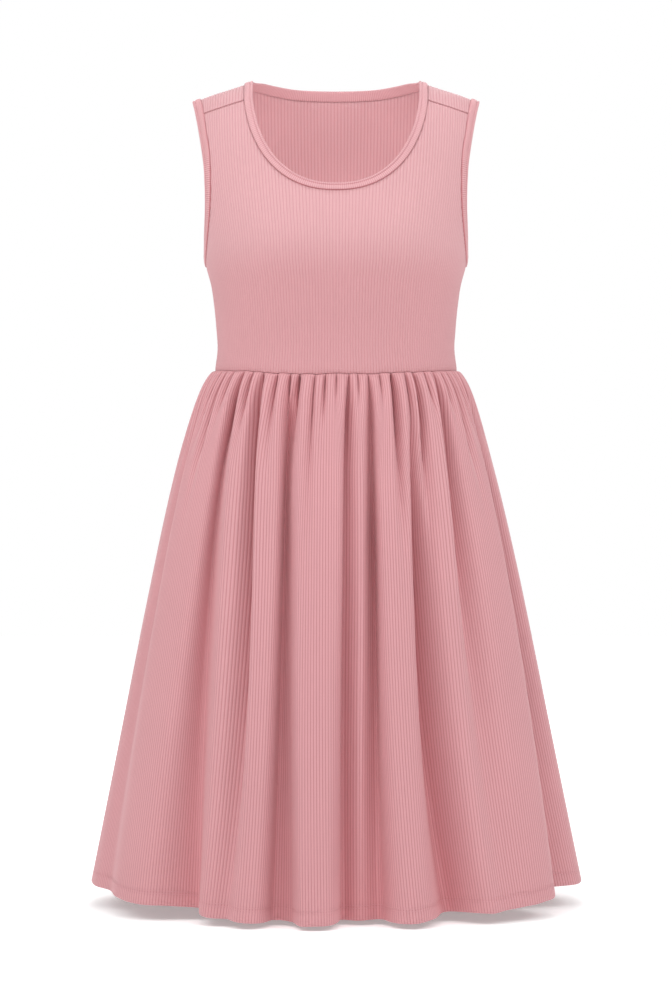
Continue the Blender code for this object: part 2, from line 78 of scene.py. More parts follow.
# %% Studio
FLOOR_HEIGHT = -0.968
FLOOR_SIZE = 12.0
WORLD_LIGHT = 0.53
FLOOR_GLOW = 0.52
GLOW_RANGE = (1.1, 3.0, 0.56, 1.0)

scene = bpy.context.scene
scene.view_settings.view_transform = "Standard"
scene.view_settings.look = "None"

world = bpy.data.worlds.new("studio")
world.use_nodes = True
scene.world = world
sky = world.node_tree
sky.nodes.clear()
sky_seen = sky.nodes.new("ShaderNodeBackground")
sky_seen.inputs["Strength"].default_value = 1.0
sky_light = sky.nodes.new("ShaderNodeBackground")
sky_light.inputs["Strength"].default_value = WORLD_LIGHT
for background in (sky_seen, sky_light):
    background.inputs["Color"].default_value = (1.0, 1.0, 1.0, 1.0)
path = sky.nodes.new("ShaderNodeLightPath")
choice = sky.nodes.new("ShaderNodeMixShader")
sky_out = sky.nodes.new("ShaderNodeOutputWorld")
sky.links.new(path.outputs["Is Camera Ray"], choice.inputs["Fac"])
sky.links.new(sky_light.outputs[0], choice.inputs[1])
sky.links.new(sky_seen.outputs[0], choice.inputs[2])
sky.links.new(choice.outputs[0], sky_out.inputs["Surface"])


def add_lamp(name, place, target, size, power):
    """A rectangular area lamp, size[0] wide and size[1] high, that faces a point."""
    data = bpy.data.lights.new(name, "AREA")
    data.shape = "RECTANGLE"
    data.size, data.size_y = size
    data.energy = power
    lamp = bpy.data.objects.new(name, data)
    lamp.location = place
    lamp.rotation_euler = (Vector(target) - Vector(place)).to_track_quat("-Z", "Y").to_euler()
    lamp.visible_camera = False
    scene.collection.objects.link(lamp)
    return lamp


add_lamp("key", (-0.2, -1.25, 0.85), (0.0, 0.0, -0.1), (2.2, 0.8), 13.3)
add_lamp("left", (-2.0, -1.0, 1.1), (0.0, 0.0, -0.2), (1.2, 1.2), 18.0)
add_lamp("right", (2.0, -1.0, 1.1), (0.0, 0.0, -0.2), (1.2, 1.2), 20.0)
add_lamp("top", (0.0, 0.1, 1.8), (0.0, 0.0, -0.4), (1.4, 1.4), 9.0)
add_lamp("behind", (0.4, 2.6, 1.2), (0.0, 0.0, -0.4), (1.8, 1.8), 20.0)
add_lamp("inside", (0.0, -0.030, -0.260), (0.0, 0.09, -0.05), (0.12, 0.12), 0.30)

floor_mesh = bmesh.new()
bmesh.ops.create_grid(floor_mesh, x_segments=8, y_segments=8, size=FLOOR_SIZE / 2)
bmesh.ops.translate(floor_mesh, verts=floor_mesh.verts, vec=(0.0, 0.0, FLOOR_HEIGHT))
floor_data = bpy.data.meshes.new("floor")
floor_mesh.to_mesh(floor_data)
floor_mesh.free()
floor = bpy.data.objects.new("floor", floor_data)
scene.collection.objects.link(floor)
paper = bpy.data.materials.new("floor_paper")
paper.use_nodes = True
paper_shader = paper.node_tree.nodes["Principled BSDF"]
paper_shader.inputs["Base Color"].default_value = (0.96, 0.96, 0.96, 1.0)
paper_shader.inputs["Roughness"].default_value = 1.0
paper_shader.inputs["Specular IOR Level"].default_value = 0.0
paper_shader.inputs["Emission Strength"].default_value = FLOOR_GLOW
paper_place = paper.node_tree.nodes.new("ShaderNodeTexCoord")
paper_distance = paper.node_tree.nodes.new("ShaderNodeVectorMath")
paper_distance.operation = "LENGTH"
paper_glow = paper.node_tree.nodes.new("ShaderNodeMapRange")
paper_glow.interpolation_type = "SMOOTHSTEP"
for socket, value in zip(("From Min", "From Max", "To Min", "To Max"), GLOW_RANGE):
    paper_glow.inputs[socket].default_value = value
paper.node_tree.links.new(paper_place.outputs["Object"], paper_distance.inputs[0])
paper.node_tree.links.new(paper_distance.outputs["Value"], paper_glow.inputs["Value"])
paper.node_tree.links.new(paper_glow.outputs["Result"], paper_shader.inputs["Emission Color"])
floor_data.materials.append(paper)

# %% [markdown]
# ## The figure
# The bodice is drawn on a general figure, the same one as the CAD walls. A place on it has an
# angle round the body and a reach from the ridge of the shoulders, positive down the front and
# negative down the back. Short tables give the figure's sizes, and a smooth curve is read
# through each column.

# %% The figure's sizes
SEAM_GAP = 0.0003
SHOULDER_ROUNDING = 0.090
FRAME_HALF_WIDTH = 0.176
SQUARENESS = 2.3
BUST_SWELL = 0.007
BUST_ACROSS = 0.078
BUST_HEIGHT = -0.200
BUST_SPREAD = 0.048
FRONT = 1.0
BACK = -1.0

Level = namedtuple("Level", "height half_width front_depth back_depth")
FIGURE = (
    Level(-0.3600, 0.1440, 0.1095, 0.0920),
    Level(-0.3450, 0.1428, 0.1075, 0.0895),
    Level(-0.3370, 0.1418, 0.1065, 0.0885),
    Level(-0.3150, 0.1393, 0.1055, 0.0875),
    Level(-0.2950, 0.1405, 0.1065, 0.0875),
    Level(-0.2650, 0.1433, 0.1110, 0.0895),
    Level(-0.2400, 0.1470, 0.1155, 0.0930),
    Level(-0.2194, 0.1525, 0.1185, 0.0965),
    Level(-0.1950, 0.1555, 0.1195, 0.1005),
    Level(-0.1650, 0.1610, 0.1150, 0.1035),
    Level(-0.1300, 0.1670, 0.1065, 0.1035),
    Level(-0.0800, 0.1730, 0.0945, 0.0990),
    Level(-0.0300, 0.1760, 0.0860, 0.0880),
    Level(0.0100, 0.1760, 0.0820, 0.0790),
)

Ridge = namedtuple("Ridge", "across height")
SHOULDER_RIDGE = (
    Ridge(0.000, 0.0600),
    Ridge(0.050, 0.0450),
    Ridge(0.080, 0.0140),
    Ridge(0.095, 0.0015),
    Ridge(0.108, -0.0040),
    Ridge(0.123, -0.0090),
    Ridge(0.144, -0.0155),
    Ridge(0.158, -0.0205),
    Ridge(0.176, -0.0265),
)


def read_table(rows, column, at):
    """Reads a smooth curve through one column of a table, at places in its first column."""
    table = np.array(rows)
    places = table[:, 0]
    values = table[:, rows[0]._fields.index(column)]
    slopes = np.gradient(values, places)
    at = np.clip(at, places[0], places[-1])
    low = np.clip(np.searchsorted(places, at) - 1, 0, len(places) - 2)
    span = places[low + 1] - places[low]
    t = (at - places[low]) / span
    start = values[low] * (1 + 2 * t) * (1 - t) ** 2 + slopes[low] * span * t * (1 - t) ** 2
    end = values[low + 1] * t**2 * (3 - 2 * t) + slopes[low + 1] * span * t**2 * (t - 1)
    return start + end


def drop_at(reach):
    """Height lost below the ridge: round over the shoulder, then straight down."""
    reach = np.abs(reach)
    rounded = SHOULDER_ROUNDING * (1 - np.cos(np.minimum(reach / SHOULDER_ROUNDING, math.pi / 2)))
    return rounded + np.maximum(reach - SHOULDER_ROUNDING * math.pi / 2, 0)


def reach_at(drop):
    """The reach from the ridge that loses this much height."""
    bend = np.arccos(np.clip(1 - drop / SHOULDER_ROUNDING, 0, 1))
    return SHOULDER_ROUNDING * bend + np.maximum(drop - SHOULDER_ROUNDING, 0)


def fullness(angle, squareness):
    """Share of the depth that is left at an angle, on a rounded-square section."""
    left = np.clip(1 - np.abs(np.sin(angle)) ** squareness, 0, 1)
    return np.sign(np.cos(angle)) * left ** (1 / squareness)


def ridge_height(angle):
    return read_table(SHOULDER_RIDGE, "height", FRAME_HALF_WIDTH * np.abs(np.sin(angle)))


def figure_point(angle, reach):
    """The place in space of an angle and a reach, as an array whose last axis is x, y, z."""
    height = ridge_height(angle) - drop_at(reach)
    across = read_table(FIGURE, "half_width", height) * np.sin(angle)
    sideways = (np.abs(across) - BUST_ACROSS) / BUST_SPREAD
    upwards = (height - BUST_HEIGHT) / BUST_SPREAD
    swell = BUST_SWELL * np.exp(-(sideways**2) - upwards**2)
    front = read_table(FIGURE, "front_depth", height) + swell
    back = read_table(FIGURE, "back_depth", height)
    lift = np.sin(np.minimum(np.abs(reach) / SHOULDER_ROUNDING, math.pi / 2))
    depth = np.where(reach > 0, -front, back) * fullness(angle, SQUARENESS) * lift
    return np.stack([across, depth, height], axis=-1)


def figure_normal(angle, reach):
    """The direction straight out of the figure."""
    step = 1e-4
    around = figure_point(angle + step, reach) - figure_point(angle - step, reach)
    down = figure_point(angle, reach + step) - figure_point(angle, reach - step)
    return unit(np.cross(down, around))


def unit(vectors):
    return vectors / np.maximum(np.linalg.norm(vectors, axis=-1, keepdims=True), 1e-12)


def on_figure(across, height, side):
    """The angle and reach of a point known by how far across and how high it lies."""
    half_width = read_table(FIGURE, "half_width", height)
    angle = np.arcsin(np.clip(across / half_width, -1, 1))
    reach = side * reach_at(np.maximum(ridge_height(angle) - height, 0))
    return np.stack([angle, reach], axis=-1)


def lengths_along(points):
    """Distance along a row of points, from its first one."""
    steps = np.linalg.norm(np.diff(points, axis=0), axis=-1)
    return np.concatenate([[0.0], np.cumsum(steps)])


chest = figure_point(np.linspace(-math.pi / 2, math.pi / 2, 400), np.full(400, 0.25))
print("half round the chest:", round(float(lengths_along(chest)[-1]), 3), "m")

# %% [markdown]
# ## The knit
# Rib knit has raised ribs with narrow grooves between them, and each rib is made of small
# V-shaped stitches. The ribs are wide enough to be real shape, so the meshes below carry them.
# The stitches are finer than a grid could hold, so a node group draws them from a UV map whose
# U counts ribs and whose V is metres along the thread. The group gives out only masks and a
# height; each material mixes its own colours with them.

# %% Node helpers
RIB_PITCH = 0.0034
STITCHES_PER_METRE = 640.0
WALES_PER_RIB = 2.0
THREADS = "threads"
SHADE_ATTRIBUTE = "valley"


def connect(tree, source, socket):
    """Links a socket, or sets a plain value."""
    if isinstance(source, bpy.types.NodeSocket):
        tree.links.new(source, socket)
    else:
        socket.default_value = source


def maths(tree, operation, *values):
    node = tree.nodes.new("ShaderNodeMath")
    node.operation = operation
    for socket, value in zip(node.inputs, values):
        connect(tree, value, socket)
    return node.outputs[0]


def mixed(tree, blend, amount, first, second):
    node = tree.nodes.new("ShaderNodeMix")
    node.data_type = "RGBA"
    node.blend_type = blend
    connect(tree, amount, node.inputs[0])
    connect(tree, first, node.inputs[6])
    connect(tree, second, node.inputs[7])
    return node.outputs[2]


def new_group(name, inputs, outputs):
    group = bpy.data.node_groups.new(name, "ShaderNodeTree")
    for label, kind in inputs:
        group.interface.new_socket(label, in_out="INPUT", socket_type=kind)
    for label in outputs:
        group.interface.new_socket(label, in_out="OUTPUT", socket_type="NodeSocketFloat")
    start = group.nodes.new("NodeGroupInput")
    end = group.nodes.new("NodeGroupOutput")
    return group, start.outputs, end.inputs


# %% The stitches' node group
def make_knit_group():
    """Masks and height of rib knit, from a vector of ribs and metres."""
    group, given, result = new_group(
        "rib_knit_stitches",
        (("Threads", "NodeSocketVector"), ("Wales", "NodeSocketFloat"), ("Rows", "NodeSocketFloat")),
        ("Groove", "Stitch", "Height"),
    )
    parts = group.nodes.new("ShaderNodeSeparateXYZ")
    group.links.new(given["Threads"], parts.inputs[0])
    rib_turn = maths(group, "MULTIPLY", parts.outputs["X"], math.pi)
    crest = maths(group, "ABSOLUTE", maths(group, "SINE", rib_turn))
    groove = maths(group, "SUBTRACT", 1.0, crest)
    groove = maths(group, "POWER", groove, 1.6)
    wale = maths(group, "FRACT", maths(group, "MULTIPLY", parts.outputs["X"], given["Wales"]))
    from_middle = maths(group, "ABSOLUTE", maths(group, "SUBTRACT", wale, 0.5))
    row = maths(group, "MULTIPLY", parts.outputs["Y"], given["Rows"])
    slanted = maths(group, "ADD", row, maths(group, "MULTIPLY", from_middle, 1.3))
    loop = maths(group, "SINE", maths(group, "MULTIPLY", maths(group, "FRACT", slanted), math.pi))
    leg = maths(group, "SINE", maths(group, "MULTIPLY", wale, math.pi))
    stitch = maths(group, "MULTIPLY", loop, maths(group, "POWER", leg, 0.5))
    height = maths(group, "MULTIPLY", stitch, maths(group, "ADD", 0.35, crest))
    group.links.new(groove, result["Groove"])
    group.links.new(stitch, result["Stitch"])
    group.links.new(height, result["Height"])
    return group


def make_heather_group():
    """Uneven dye: a slow cloudiness and a fine fleck, as one value around 1."""
    group, given, result = new_group(
        "uneven_dye",
        (("Place", "NodeSocketVector"), ("Amount", "NodeSocketFloat")),
        ("Tone",),
    )
    tones = []
    for scale, detail in ((9.0, 2.0), (900.0, 3.0)):
        noise = group.nodes.new("ShaderNodeTexNoise")
        noise.inputs["Scale"].default_value = scale
        noise.inputs["Detail"].default_value = detail
        group.links.new(given["Place"], noise.inputs["Vector"])
        tones.append(maths(group, "SUBTRACT", noise.outputs["Fac"], 0.5))
    both = maths(group, "ADD", tones[0], tones[1])
    tone = maths(group, "MULTIPLY_ADD", both, given["Amount"], 1.0)
    group.links.new(tone, result["Tone"])
    return group


knit_group = make_knit_group()
heather_group = make_heather_group()
print("node groups:", knit_group.name, heather_group.name)

# %% [markdown]
# ## The cloth's colour
# The yarn is a dusty pink. A rib's crest catches the light and fuzz, and its groove is painted
# in a deeper colour, as shade for the light that reaches it after meeting pink yarn. The
# bodice's colours are paler than the skirt's, a painted highlight for the stronger light from
# above, and its grooves get less painted shade. Down in a fold or a crease the light has met
# pink yarn many times, more often than a renderer follows it, so the meshes carry a value of
# how deep in shade they lie, and it paints a redder shade into the colour; on the bodice the
# same value paints shade below the bust. The sheen of the fuzz is one number for the whole
# piece, so it is set on the shader's own socket.

# %% Materials
# Painted shade: each groove colour is a darker, redder copy of its crest, for shade in the rib grooves.
YARN_CREST = (0.610, 0.288, 0.310, 1.0)
SKIRT_GROOVE_SHADE = (0.380, 0.105, 0.118, 1.0)
# Painted highlight: the bodice's crest and groove colours are paler than the skirt's, for the stronger light
# from above.
BODICE_LIT_CREST = (0.592, 0.310, 0.330, 1.0)
BODICE_LIT_GROOVE_SHADE = (0.460, 0.155, 0.170, 1.0)
BAND_CREST = (0.635, 0.332, 0.354, 1.0)
BAND_GROOVE_SHADE = (0.440, 0.150, 0.165, 1.0)
ARMHOLE_CREST = (0.660, 0.340, 0.360, 1.0)
ARMHOLE_GROOVE_SHADE = (0.360, 0.095, 0.108, 1.0)
# Painted shade: a deep red mixed in down in the skirt's folds.
PAINTED_FOLD_SHADE = (0.740, 0.100, 0.118, 1.0)
# Painted shade: a dark red mixed into the bindings' creases and below the bust.
PAINTED_SHADE_RED = (0.430, 0.098, 0.115, 1.0)
THREAD_COLOUR = (0.650, 0.340, 0.360, 1.0)
YARN_ROUGHNESS = 0.66
YARN_SHINE = 0.70
FUZZ_SHEEN = 0.16
STITCH_RELIEF = 0.00012


def knit_material(name, crest_colour, groove_shade_colour, groove_shade_share, painted_shade_colour):
    material = bpy.data.materials.new(name)
    material.use_nodes = True
    tree = material.node_tree
    shader = tree.nodes["Principled BSDF"]
    shader.inputs["Sheen Weight"].default_value = FUZZ_SHEEN
    shader.inputs["Sheen Roughness"].default_value = 0.6
    shader.inputs["Specular IOR Level"].default_value = YARN_SHINE
    threads = tree.nodes.new("ShaderNodeUVMap")
    threads.uv_map = THREADS
    place = tree.nodes.new("ShaderNodeTexCoord")
    knit = tree.nodes.new("ShaderNodeGroup")
    knit.node_tree = knit_group
    knit.inputs["Wales"].default_value = WALES_PER_RIB
    knit.inputs["Rows"].default_value = STITCHES_PER_METRE
    tree.links.new(threads.outputs[0], knit.inputs["Threads"])
    heather = tree.nodes.new("ShaderNodeGroup")
    heather.node_tree = heather_group
    heather.inputs["Amount"].default_value = 0.09
    tree.links.new(place.outputs["Object"], heather.inputs["Place"])
    # Painted shade: the rib grooves are mixed towards the darker groove colour.
    depth = maths(tree, "MULTIPLY", knit.outputs["Groove"], groove_shade_share)
    colour = mixed(tree, "MIX", depth, crest_colour, groove_shade_colour)
    # Painted shade: the mesh's shade value mixes in a darker colour, in folds, creases and below the bust.
    valley = tree.nodes.new("ShaderNodeAttribute")
    valley.attribute_name = SHADE_ATTRIBUTE
    colour = mixed(tree, "MIX", valley.outputs["Fac"], colour, painted_shade_colour)
    # Painted shade between the stitches: each stitch is a little lighter and the gaps darker.
    shade = maths(tree, "MULTIPLY_ADD", knit.outputs["Stitch"], 0.12, 0.93)
    tone = maths(tree, "MULTIPLY", shade, heather.outputs["Tone"])
    colour = mixed(tree, "MULTIPLY", 1.0, colour, tone)
    tree.links.new(colour, shader.inputs["Base Color"])
    rough = maths(tree, "MULTIPLY_ADD", knit.outputs["Stitch"], -0.08, YARN_ROUGHNESS)
    tree.links.new(rough, shader.inputs["Roughness"])
    bump = tree.nodes.new("ShaderNodeBump")
    bump.inputs["Strength"].default_value = 0.6
    bump.inputs["Distance"].default_value = STITCH_RELIEF
    tree.links.new(knit.outputs["Height"], bump.inputs["Height"])
    tree.links.new(bump.outputs[0], shader.inputs["Normal"])
    return material


# The bodice material is a paler, painted-highlight copy of the skirt's knit.
bodice_lit_knit = knit_material("rib_knit", BODICE_LIT_CREST, BODICE_LIT_GROOVE_SHADE, 0.58, PAINTED_SHADE_RED)
skirt_knit = knit_material("skirt_rib_knit", YARN_CREST, SKIRT_GROOVE_SHADE, 0.8, PAINTED_FOLD_SHADE)
band_knit = knit_material("binding_knit", BAND_CREST, BAND_GROOVE_SHADE, 0.8, PAINTED_SHADE_RED)
armhole_knit = knit_material(
    "armhole_binding_knit", ARMHOLE_CREST, ARMHOLE_GROOVE_SHADE, 1.0, PAINTED_SHADE_RED
)
print("materials:", bodice_lit_knit.name, skirt_knit.name, band_knit.name)

# %% [markdown]
# ## From numbers to cloth
# A panel's surface is a grid whose columns follow the ribs. Blender's grid operator makes the
# faces, and each of its points is then moved to its place on the panel. Columns that keep to
# the ribs need only a few points a rib, where a free grid would need many more. A Solidify
# modifier gives the cloth its thickness, on the inside.

# %% Grid helpers
CLOTH = 0.0013
RIB_RELIEF = 0.00030


def rib_height(phase):
    """A round crest with a narrow groove, from -1 to 1, once for each whole phase."""
    return 2 * np.abs(np.sin(math.pi * phase)) ** 0.7 - 1


def grid_cloth(points, threads, valley):
    """A grid laid onto rows and columns of points, with the threads' UV map and a value of painted shade."""
    rows, columns = points.shape[:2]
    mesh = bmesh.new()
    bmesh.ops.create_grid(mesh, x_segments=columns - 1, y_segments=rows - 1, size=1.0)
    flat_points = points.reshape(-1, 3)
    for vert in mesh.verts:
        column = round((vert.co.x + 1) / 2 * (columns - 1))
        row = round((vert.co.y + 1) / 2 * (rows - 1))
        vert.index = row * columns + column
        vert.co = flat_points[vert.index]
    shade_values = mesh.verts.layers.float.new(SHADE_ATTRIBUTE)
    flat_shade = np.broadcast_to(valley, (rows, columns)).reshape(-1).tolist()
    for vert in mesh.verts:
        vert[shade_values] = flat_shade[vert.index]
    layer = mesh.loops.layers.uv.new(THREADS)
    flat_threads = threads.reshape(-1, 2).tolist()
    for face in mesh.faces:
        for loop in face.loops:
            loop[layer].uv = flat_threads[loop.vert.index]
    return mesh


def finish_piece(name, mesh, material, node, wall=CLOTH):
    """Makes the object, gives it its thickness and puts it in the place of a CAD node."""
    data = bpy.data.meshes.new(name)
    mesh.to_mesh(data)
    mesh.free()
    data.materials.append(material)
    data.shade_smooth()
    piece = bpy.data.objects.new(name, data)
    scene.collection.objects.link(piece)
    if wall:
        thickness = piece.modifiers.new("cloth", "SOLIDIFY")
        thickness.thickness = wall
        thickness.offset = -1.0
        thickness.use_rim = True
    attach(piece, "root")
    if node:
        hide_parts(node)
    sides = 2 if wall else 1
    print(name, "about", sum(len(face.vertices) - 2 for face in data.polygons) * sides, "triangles")
    return piece


# %% [markdown]
# ## The bodice
# Each bodice panel is cut from flat knit with its ribs upright, and eased round the body. The
# grid starts larger than the panel: its columns are ribs, its rows run from the waist seam to
# the shoulder seam. The neck and the armholes are then trimmed out of it, as scissors would,
# by a function that is positive on the cloth and negative off it. Grid points nearest to the
# line slide onto it, and what is left outside is deleted. Drawing every panel edge as a row of
# points would also work, but then the ribs could not run off the edge as cut knit does.

# %% The bodice's edges
NECK_HALF_WIDTH = 0.1085
NECK_DROP_FRONT = 0.141
NECK_ROUNDNESS = 2.25
NECK_BACK_CENTRE = -0.009
NECK_BACK_SIDE = -0.004
SHOULDER_TIP_HEIGHT = -0.0207
UNDERARM_HEIGHT = -0.2194
SHOULDER_SEAM_AT_TIP = -0.0415
SHOULDER_SEAM_AT_NECK = -0.0290
SEAM_NECK_ACROSS = 0.107
SEAM_TIP_ACROSS = 0.154
WAIST_SIDE = -0.342
WAIST_FRONT = -0.350
WAIST_BACK = -0.346

Armhole = namedtuple("Armhole", "height front_across back_across")
ARMHOLE = (
    Armhole(UNDERARM_HEIGHT, 0.1525, 0.1525),
    Armhole(-0.2085, 0.1515, 0.1520),
    Armhole(-0.1960, 0.1498, 0.1512),
    Armhole(-0.1800, 0.1476, 0.1502),
    Armhole(-0.1450, 0.1446, 0.1494),
    Armhole(-0.1150, 0.1445, 0.1497),
    Armhole(-0.0900, 0.1458, 0.1510),
    Armhole(-0.0640, 0.1502, 0.1535),
    Armhole(-0.0415, 0.1540, 0.1560),
    Armhole(SHOULDER_TIP_HEIGHT, 0.1585, 0.1585),
)

Ripple = namedtuple("Ripple", "turns height start")
SEAM_RIPPLES = (
    Ripple(5, 0.00035, 0.4),
    Ripple(9, 0.00035, 1.9),
    Ripple(15, 0.00030, 0.8),
    Ripple(31, 0.00030, 2.3),
    Ripple(53, 0.00022, 0.2),
)


def waist_height(angle, side):
    """The waist seam's height, a little uneven where the gathers push it about."""
    middle = WAIST_FRONT if side == FRONT else WAIST_BACK
    ripple = sum(row.height * np.sin(row.turns * angle + row.start) for row in SEAM_RIPPLES)
    return middle + (WAIST_SIDE - middle) * np.sin(angle) ** 2 + ripple * np.cos(angle)


def seam_reach(angle):
    """The reach of the forward shoulder seam, carried on in a line past the strap."""
    slope = (SHOULDER_SEAM_AT_TIP - SHOULDER_SEAM_AT_NECK) / (SEAM_TIP_ACROSS - SEAM_NECK_ACROSS)
    height = np.full_like(angle, SHOULDER_SEAM_AT_NECK)
    for _ in range(4):
        across = read_table(FIGURE, "half_width", height) * np.abs(np.sin(angle))
        beyond = np.maximum(across - SEAM_NECK_ACROSS, 0)
        height = SHOULDER_SEAM_AT_NECK + slope * beyond
    return reach_at(np.maximum(ridge_height(angle) - height, 0))


def room_inside_neck(across, height, reach, side):
    """Positive on the cloth and negative in the neck opening."""
    if side == FRONT:
        round_the_neck = (across / NECK_HALF_WIDTH) ** NECK_ROUNDNESS
        down = (np.maximum(-height, 0) / NECK_DROP_FRONT) ** NECK_ROUNDNESS
        return (round_the_neck + down - 1) * NECK_HALF_WIDTH
    rise = NECK_BACK_SIDE - NECK_BACK_CENTRE
    line = NECK_BACK_CENTRE + rise * (across / NECK_HALF_WIDTH) ** 2
    behind = np.maximum(across - NECK_HALF_WIDTH, line - height)
    to_seam = np.clip((height - NECK_BACK_SIDE) / (SHOULDER_SEAM_AT_NECK - NECK_BACK_SIDE), 0, 1)
    edge = NECK_HALF_WIDTH - (NECK_HALF_WIDTH - SEAM_NECK_ACROSS) * to_seam
    return np.where(reach < 0, behind, across - edge)


def room_inside_armhole(across, height, reach):
    """Positive on the cloth and negative beyond the armhole's edge."""
    front = read_table(ARMHOLE, "front_across", height)
    back = read_table(ARMHOLE, "back_across", height)
    limit = np.where(reach > 0, front, back)
    below = np.maximum(UNDERARM_HEIGHT - height, 0)
    return limit + 2 * below - across


def room(angle, reach, side):
    place = figure_point(angle, reach)
    across = np.abs(place[..., 0])
    height = place[..., 2]
    neck = room_inside_neck(across, height, reach, side)
    return np.minimum(neck, room_inside_armhole(across, height, reach))


# %% Trimming a grid
def slide_onto_edge(angle, reach, side):
    """Moves the grid points nearest to the panel's edge onto it, and says which lie outside."""
    inside = room(angle, reach, side)
    best = np.full(angle.shape, 0.5)
    moved_angle = angle.copy()
    moved_reach = reach.copy()
    for axis, step in ((0, 1), (0, -1), (1, 1), (1, -1)):
        other = np.roll(inside, -step, axis)
        crosses = (inside > 0) != (other > 0)
        edge = [slice(None), slice(None)]
        edge[axis] = -1 if step == 1 else 0
        crosses[tuple(edge)] = False
        share = np.where(crosses, inside / np.where(crosses, inside - other, 1), 1)
        closer = share <= best
        best = np.where(closer, share, best)
        slid_angle = angle + share * (np.roll(angle, -step, axis) - angle)
        slid_reach = reach + share * (np.roll(reach, -step, axis) - reach)
        moved_angle = np.where(closer, slid_angle, moved_angle)
        moved_reach = np.where(closer, slid_reach, moved_reach)
    on_edge = (moved_angle != angle) | (moved_reach != reach)
    outside = (inside <= 0) & ~on_edge
    return moved_angle, moved_reach, outside


def trim(mesh, outside):
    """Cuts the corners that stick out of the panel, then deletes what lies outside."""
    outside = outside.reshape(-1)
    for face in list(mesh.faces):
        out = [vert for vert in face.verts if outside[vert.index]]
        if len(out) == 1:
            near = [loop.vert for loop in face.loops]
            at = near.index(out[0])
            bmesh.utils.face_split(face, near[at - 1], near[(at + 1) % 4])
    lost = [vert for vert in mesh.verts if 0 <= vert.index < len(outside) and outside[vert.index]]
    bmesh.ops.delete(mesh, geom=lost, context="VERTS")
    loose = [vert for vert in mesh.verts if not vert.link_faces]
    bmesh.ops.delete(mesh, geom=loose, context="VERTS")


# %% [markdown]
# A seam pulls the cloth in by a millimetre on both sides, so a seam is a soft trough, with a
# narrow turned-in lip at its bottom. The back panel's edge rolls a little over the front one at
# the shoulder.

# %% A bodice panel
SAMPLES_PER_RIB = 4
PITCH_HEIGHT = -0.240
SEAM_ROWS = (0.0, 0.0011, 0.0024, 0.0042, 0.0068)
EVEN_ROWS_FRONT = 56
EVEN_ROWS_BACK = 64
SEAM_TROUGH = 0.0010
WAIST_TROUGH = 0.0005
TROUGH_WIDTH = 0.0026
SHOULDER_ROLL = 0.0007
LIP = 0.0022
# Painted shade below the bust: the bodice takes more of the dark shade colour from under the bust down towards
# the waist.
UNDERBUST_SHADE_FROM = -0.190
UNDERBUST_SHADE_TO = -0.245
UNDERBUST_SHADE_SHARE = 0.22


def panel_columns(side):
    """Angles whose spacing is even along the body, a few to each rib."""
    fine = np.linspace(-math.pi / 2, math.pi / 2, 3001)
    drop = ridge_height(fine) - PITCH_HEIGHT
    along = lengths_along(figure_point(fine, side * reach_at(drop)))
    ribs = round(along[-1] / RIB_PITCH)
    places = np.linspace(0, along[-1], ribs * SAMPLES_PER_RIB + 1)
    return np.interp(places, along, fine), ribs


def trough(distance):
    return np.exp(-((distance / TROUGH_WIDTH) ** 2))


def bodice_panel(name, side):
    columns, ribs = panel_columns(side)
    low = side * reach_at(ridge_height(columns) - waist_height(columns, side))
    high = seam_reach(columns)
    full = np.abs(high - low)
    steps = EVEN_ROWS_FRONT if side == FRONT else EVEN_ROWS_BACK
    near_seam = np.array(SEAM_ROWS)[:, None]
    middle = np.linspace(0, 1, steps)[:, None] * (full - 3 * SEAM_ROWS[-1]) + 1.5 * SEAM_ROWS[-1]
    from_waist = np.concatenate([near_seam + 0 * full, middle, full - near_seam[::-1]])
    reach = low + from_waist * np.sign(high - low)
    angle = np.broadcast_to(columns, reach.shape)
    angle, reach, outside = slide_onto_edge(angle, reach, side)
    points = figure_point(angle, reach)
    normal = figure_normal(angle, reach)
    phase = np.arange(len(columns)) / SAMPLES_PER_RIB
    from_side = (math.pi / 2 - np.abs(angle)) * 0.1
    from_shoulder = full - from_waist
    relief = RIB_RELIEF * rib_height(phase)
    relief = relief - WAIST_TROUGH * trough(from_waist) - 0.8 * SEAM_TROUGH * trough(from_side)
    shoulder = -SEAM_TROUGH if side == FRONT else SHOULDER_ROLL
    relief = relief + shoulder * trough(from_shoulder)
    points = points + normal * relief[..., None]
    points[..., 1] -= side * SEAM_GAP / 2
    points[:5, :, 2] += SEAM_GAP / 2
    lip = points[:1] - LIP * unit(points[:1] * (1, 1, 0))
    points = np.concatenate([lip, points])
    outside = np.concatenate([outside[:1], outside])
    along = np.concatenate([from_waist[:1] - LIP, from_waist])
    threads = np.stack([np.broadcast_to(phase, along.shape), along], axis=-1)
    if side == BACK:
        points = points[:, ::-1]
        outside = outside[:, ::-1]
        threads = threads[:, ::-1]
    # Painted shade below the bust, growing downwards.
    lower = np.clip((UNDERBUST_SHADE_FROM - points[..., 2]) / (UNDERBUST_SHADE_FROM - UNDERBUST_SHADE_TO), 0, 1)
    underbust_shade = UNDERBUST_SHADE_SHARE * lower**2 * (3 - 2 * lower)
    mesh = grid_cloth(points, threads, underbust_shade)
    trim(mesh, outside)
    print(name, ribs, "ribs")
    return finish_piece(name + "_knit", mesh, bodice_lit_knit, name)


bodice_front = bodice_panel("bodice_front", FRONT)
bodice_back = bodice_panel("bodice_back", BACK)

# %% [markdown]
# ## The skirt
# The skirt is two wide panels, each pulled up on a thread until it is as short as the waist
# seam. Three kinds of shape lie over each other: the flared form, about thirty short gathers
# that leave the seam as narrow slits, and eight or nine large folds that deepen down to the
# hem. A cloth simulation would find its own folds and not these, so they are listed in the
# tables, and a little of each fold's depth leans to one side, as hanging folds do.

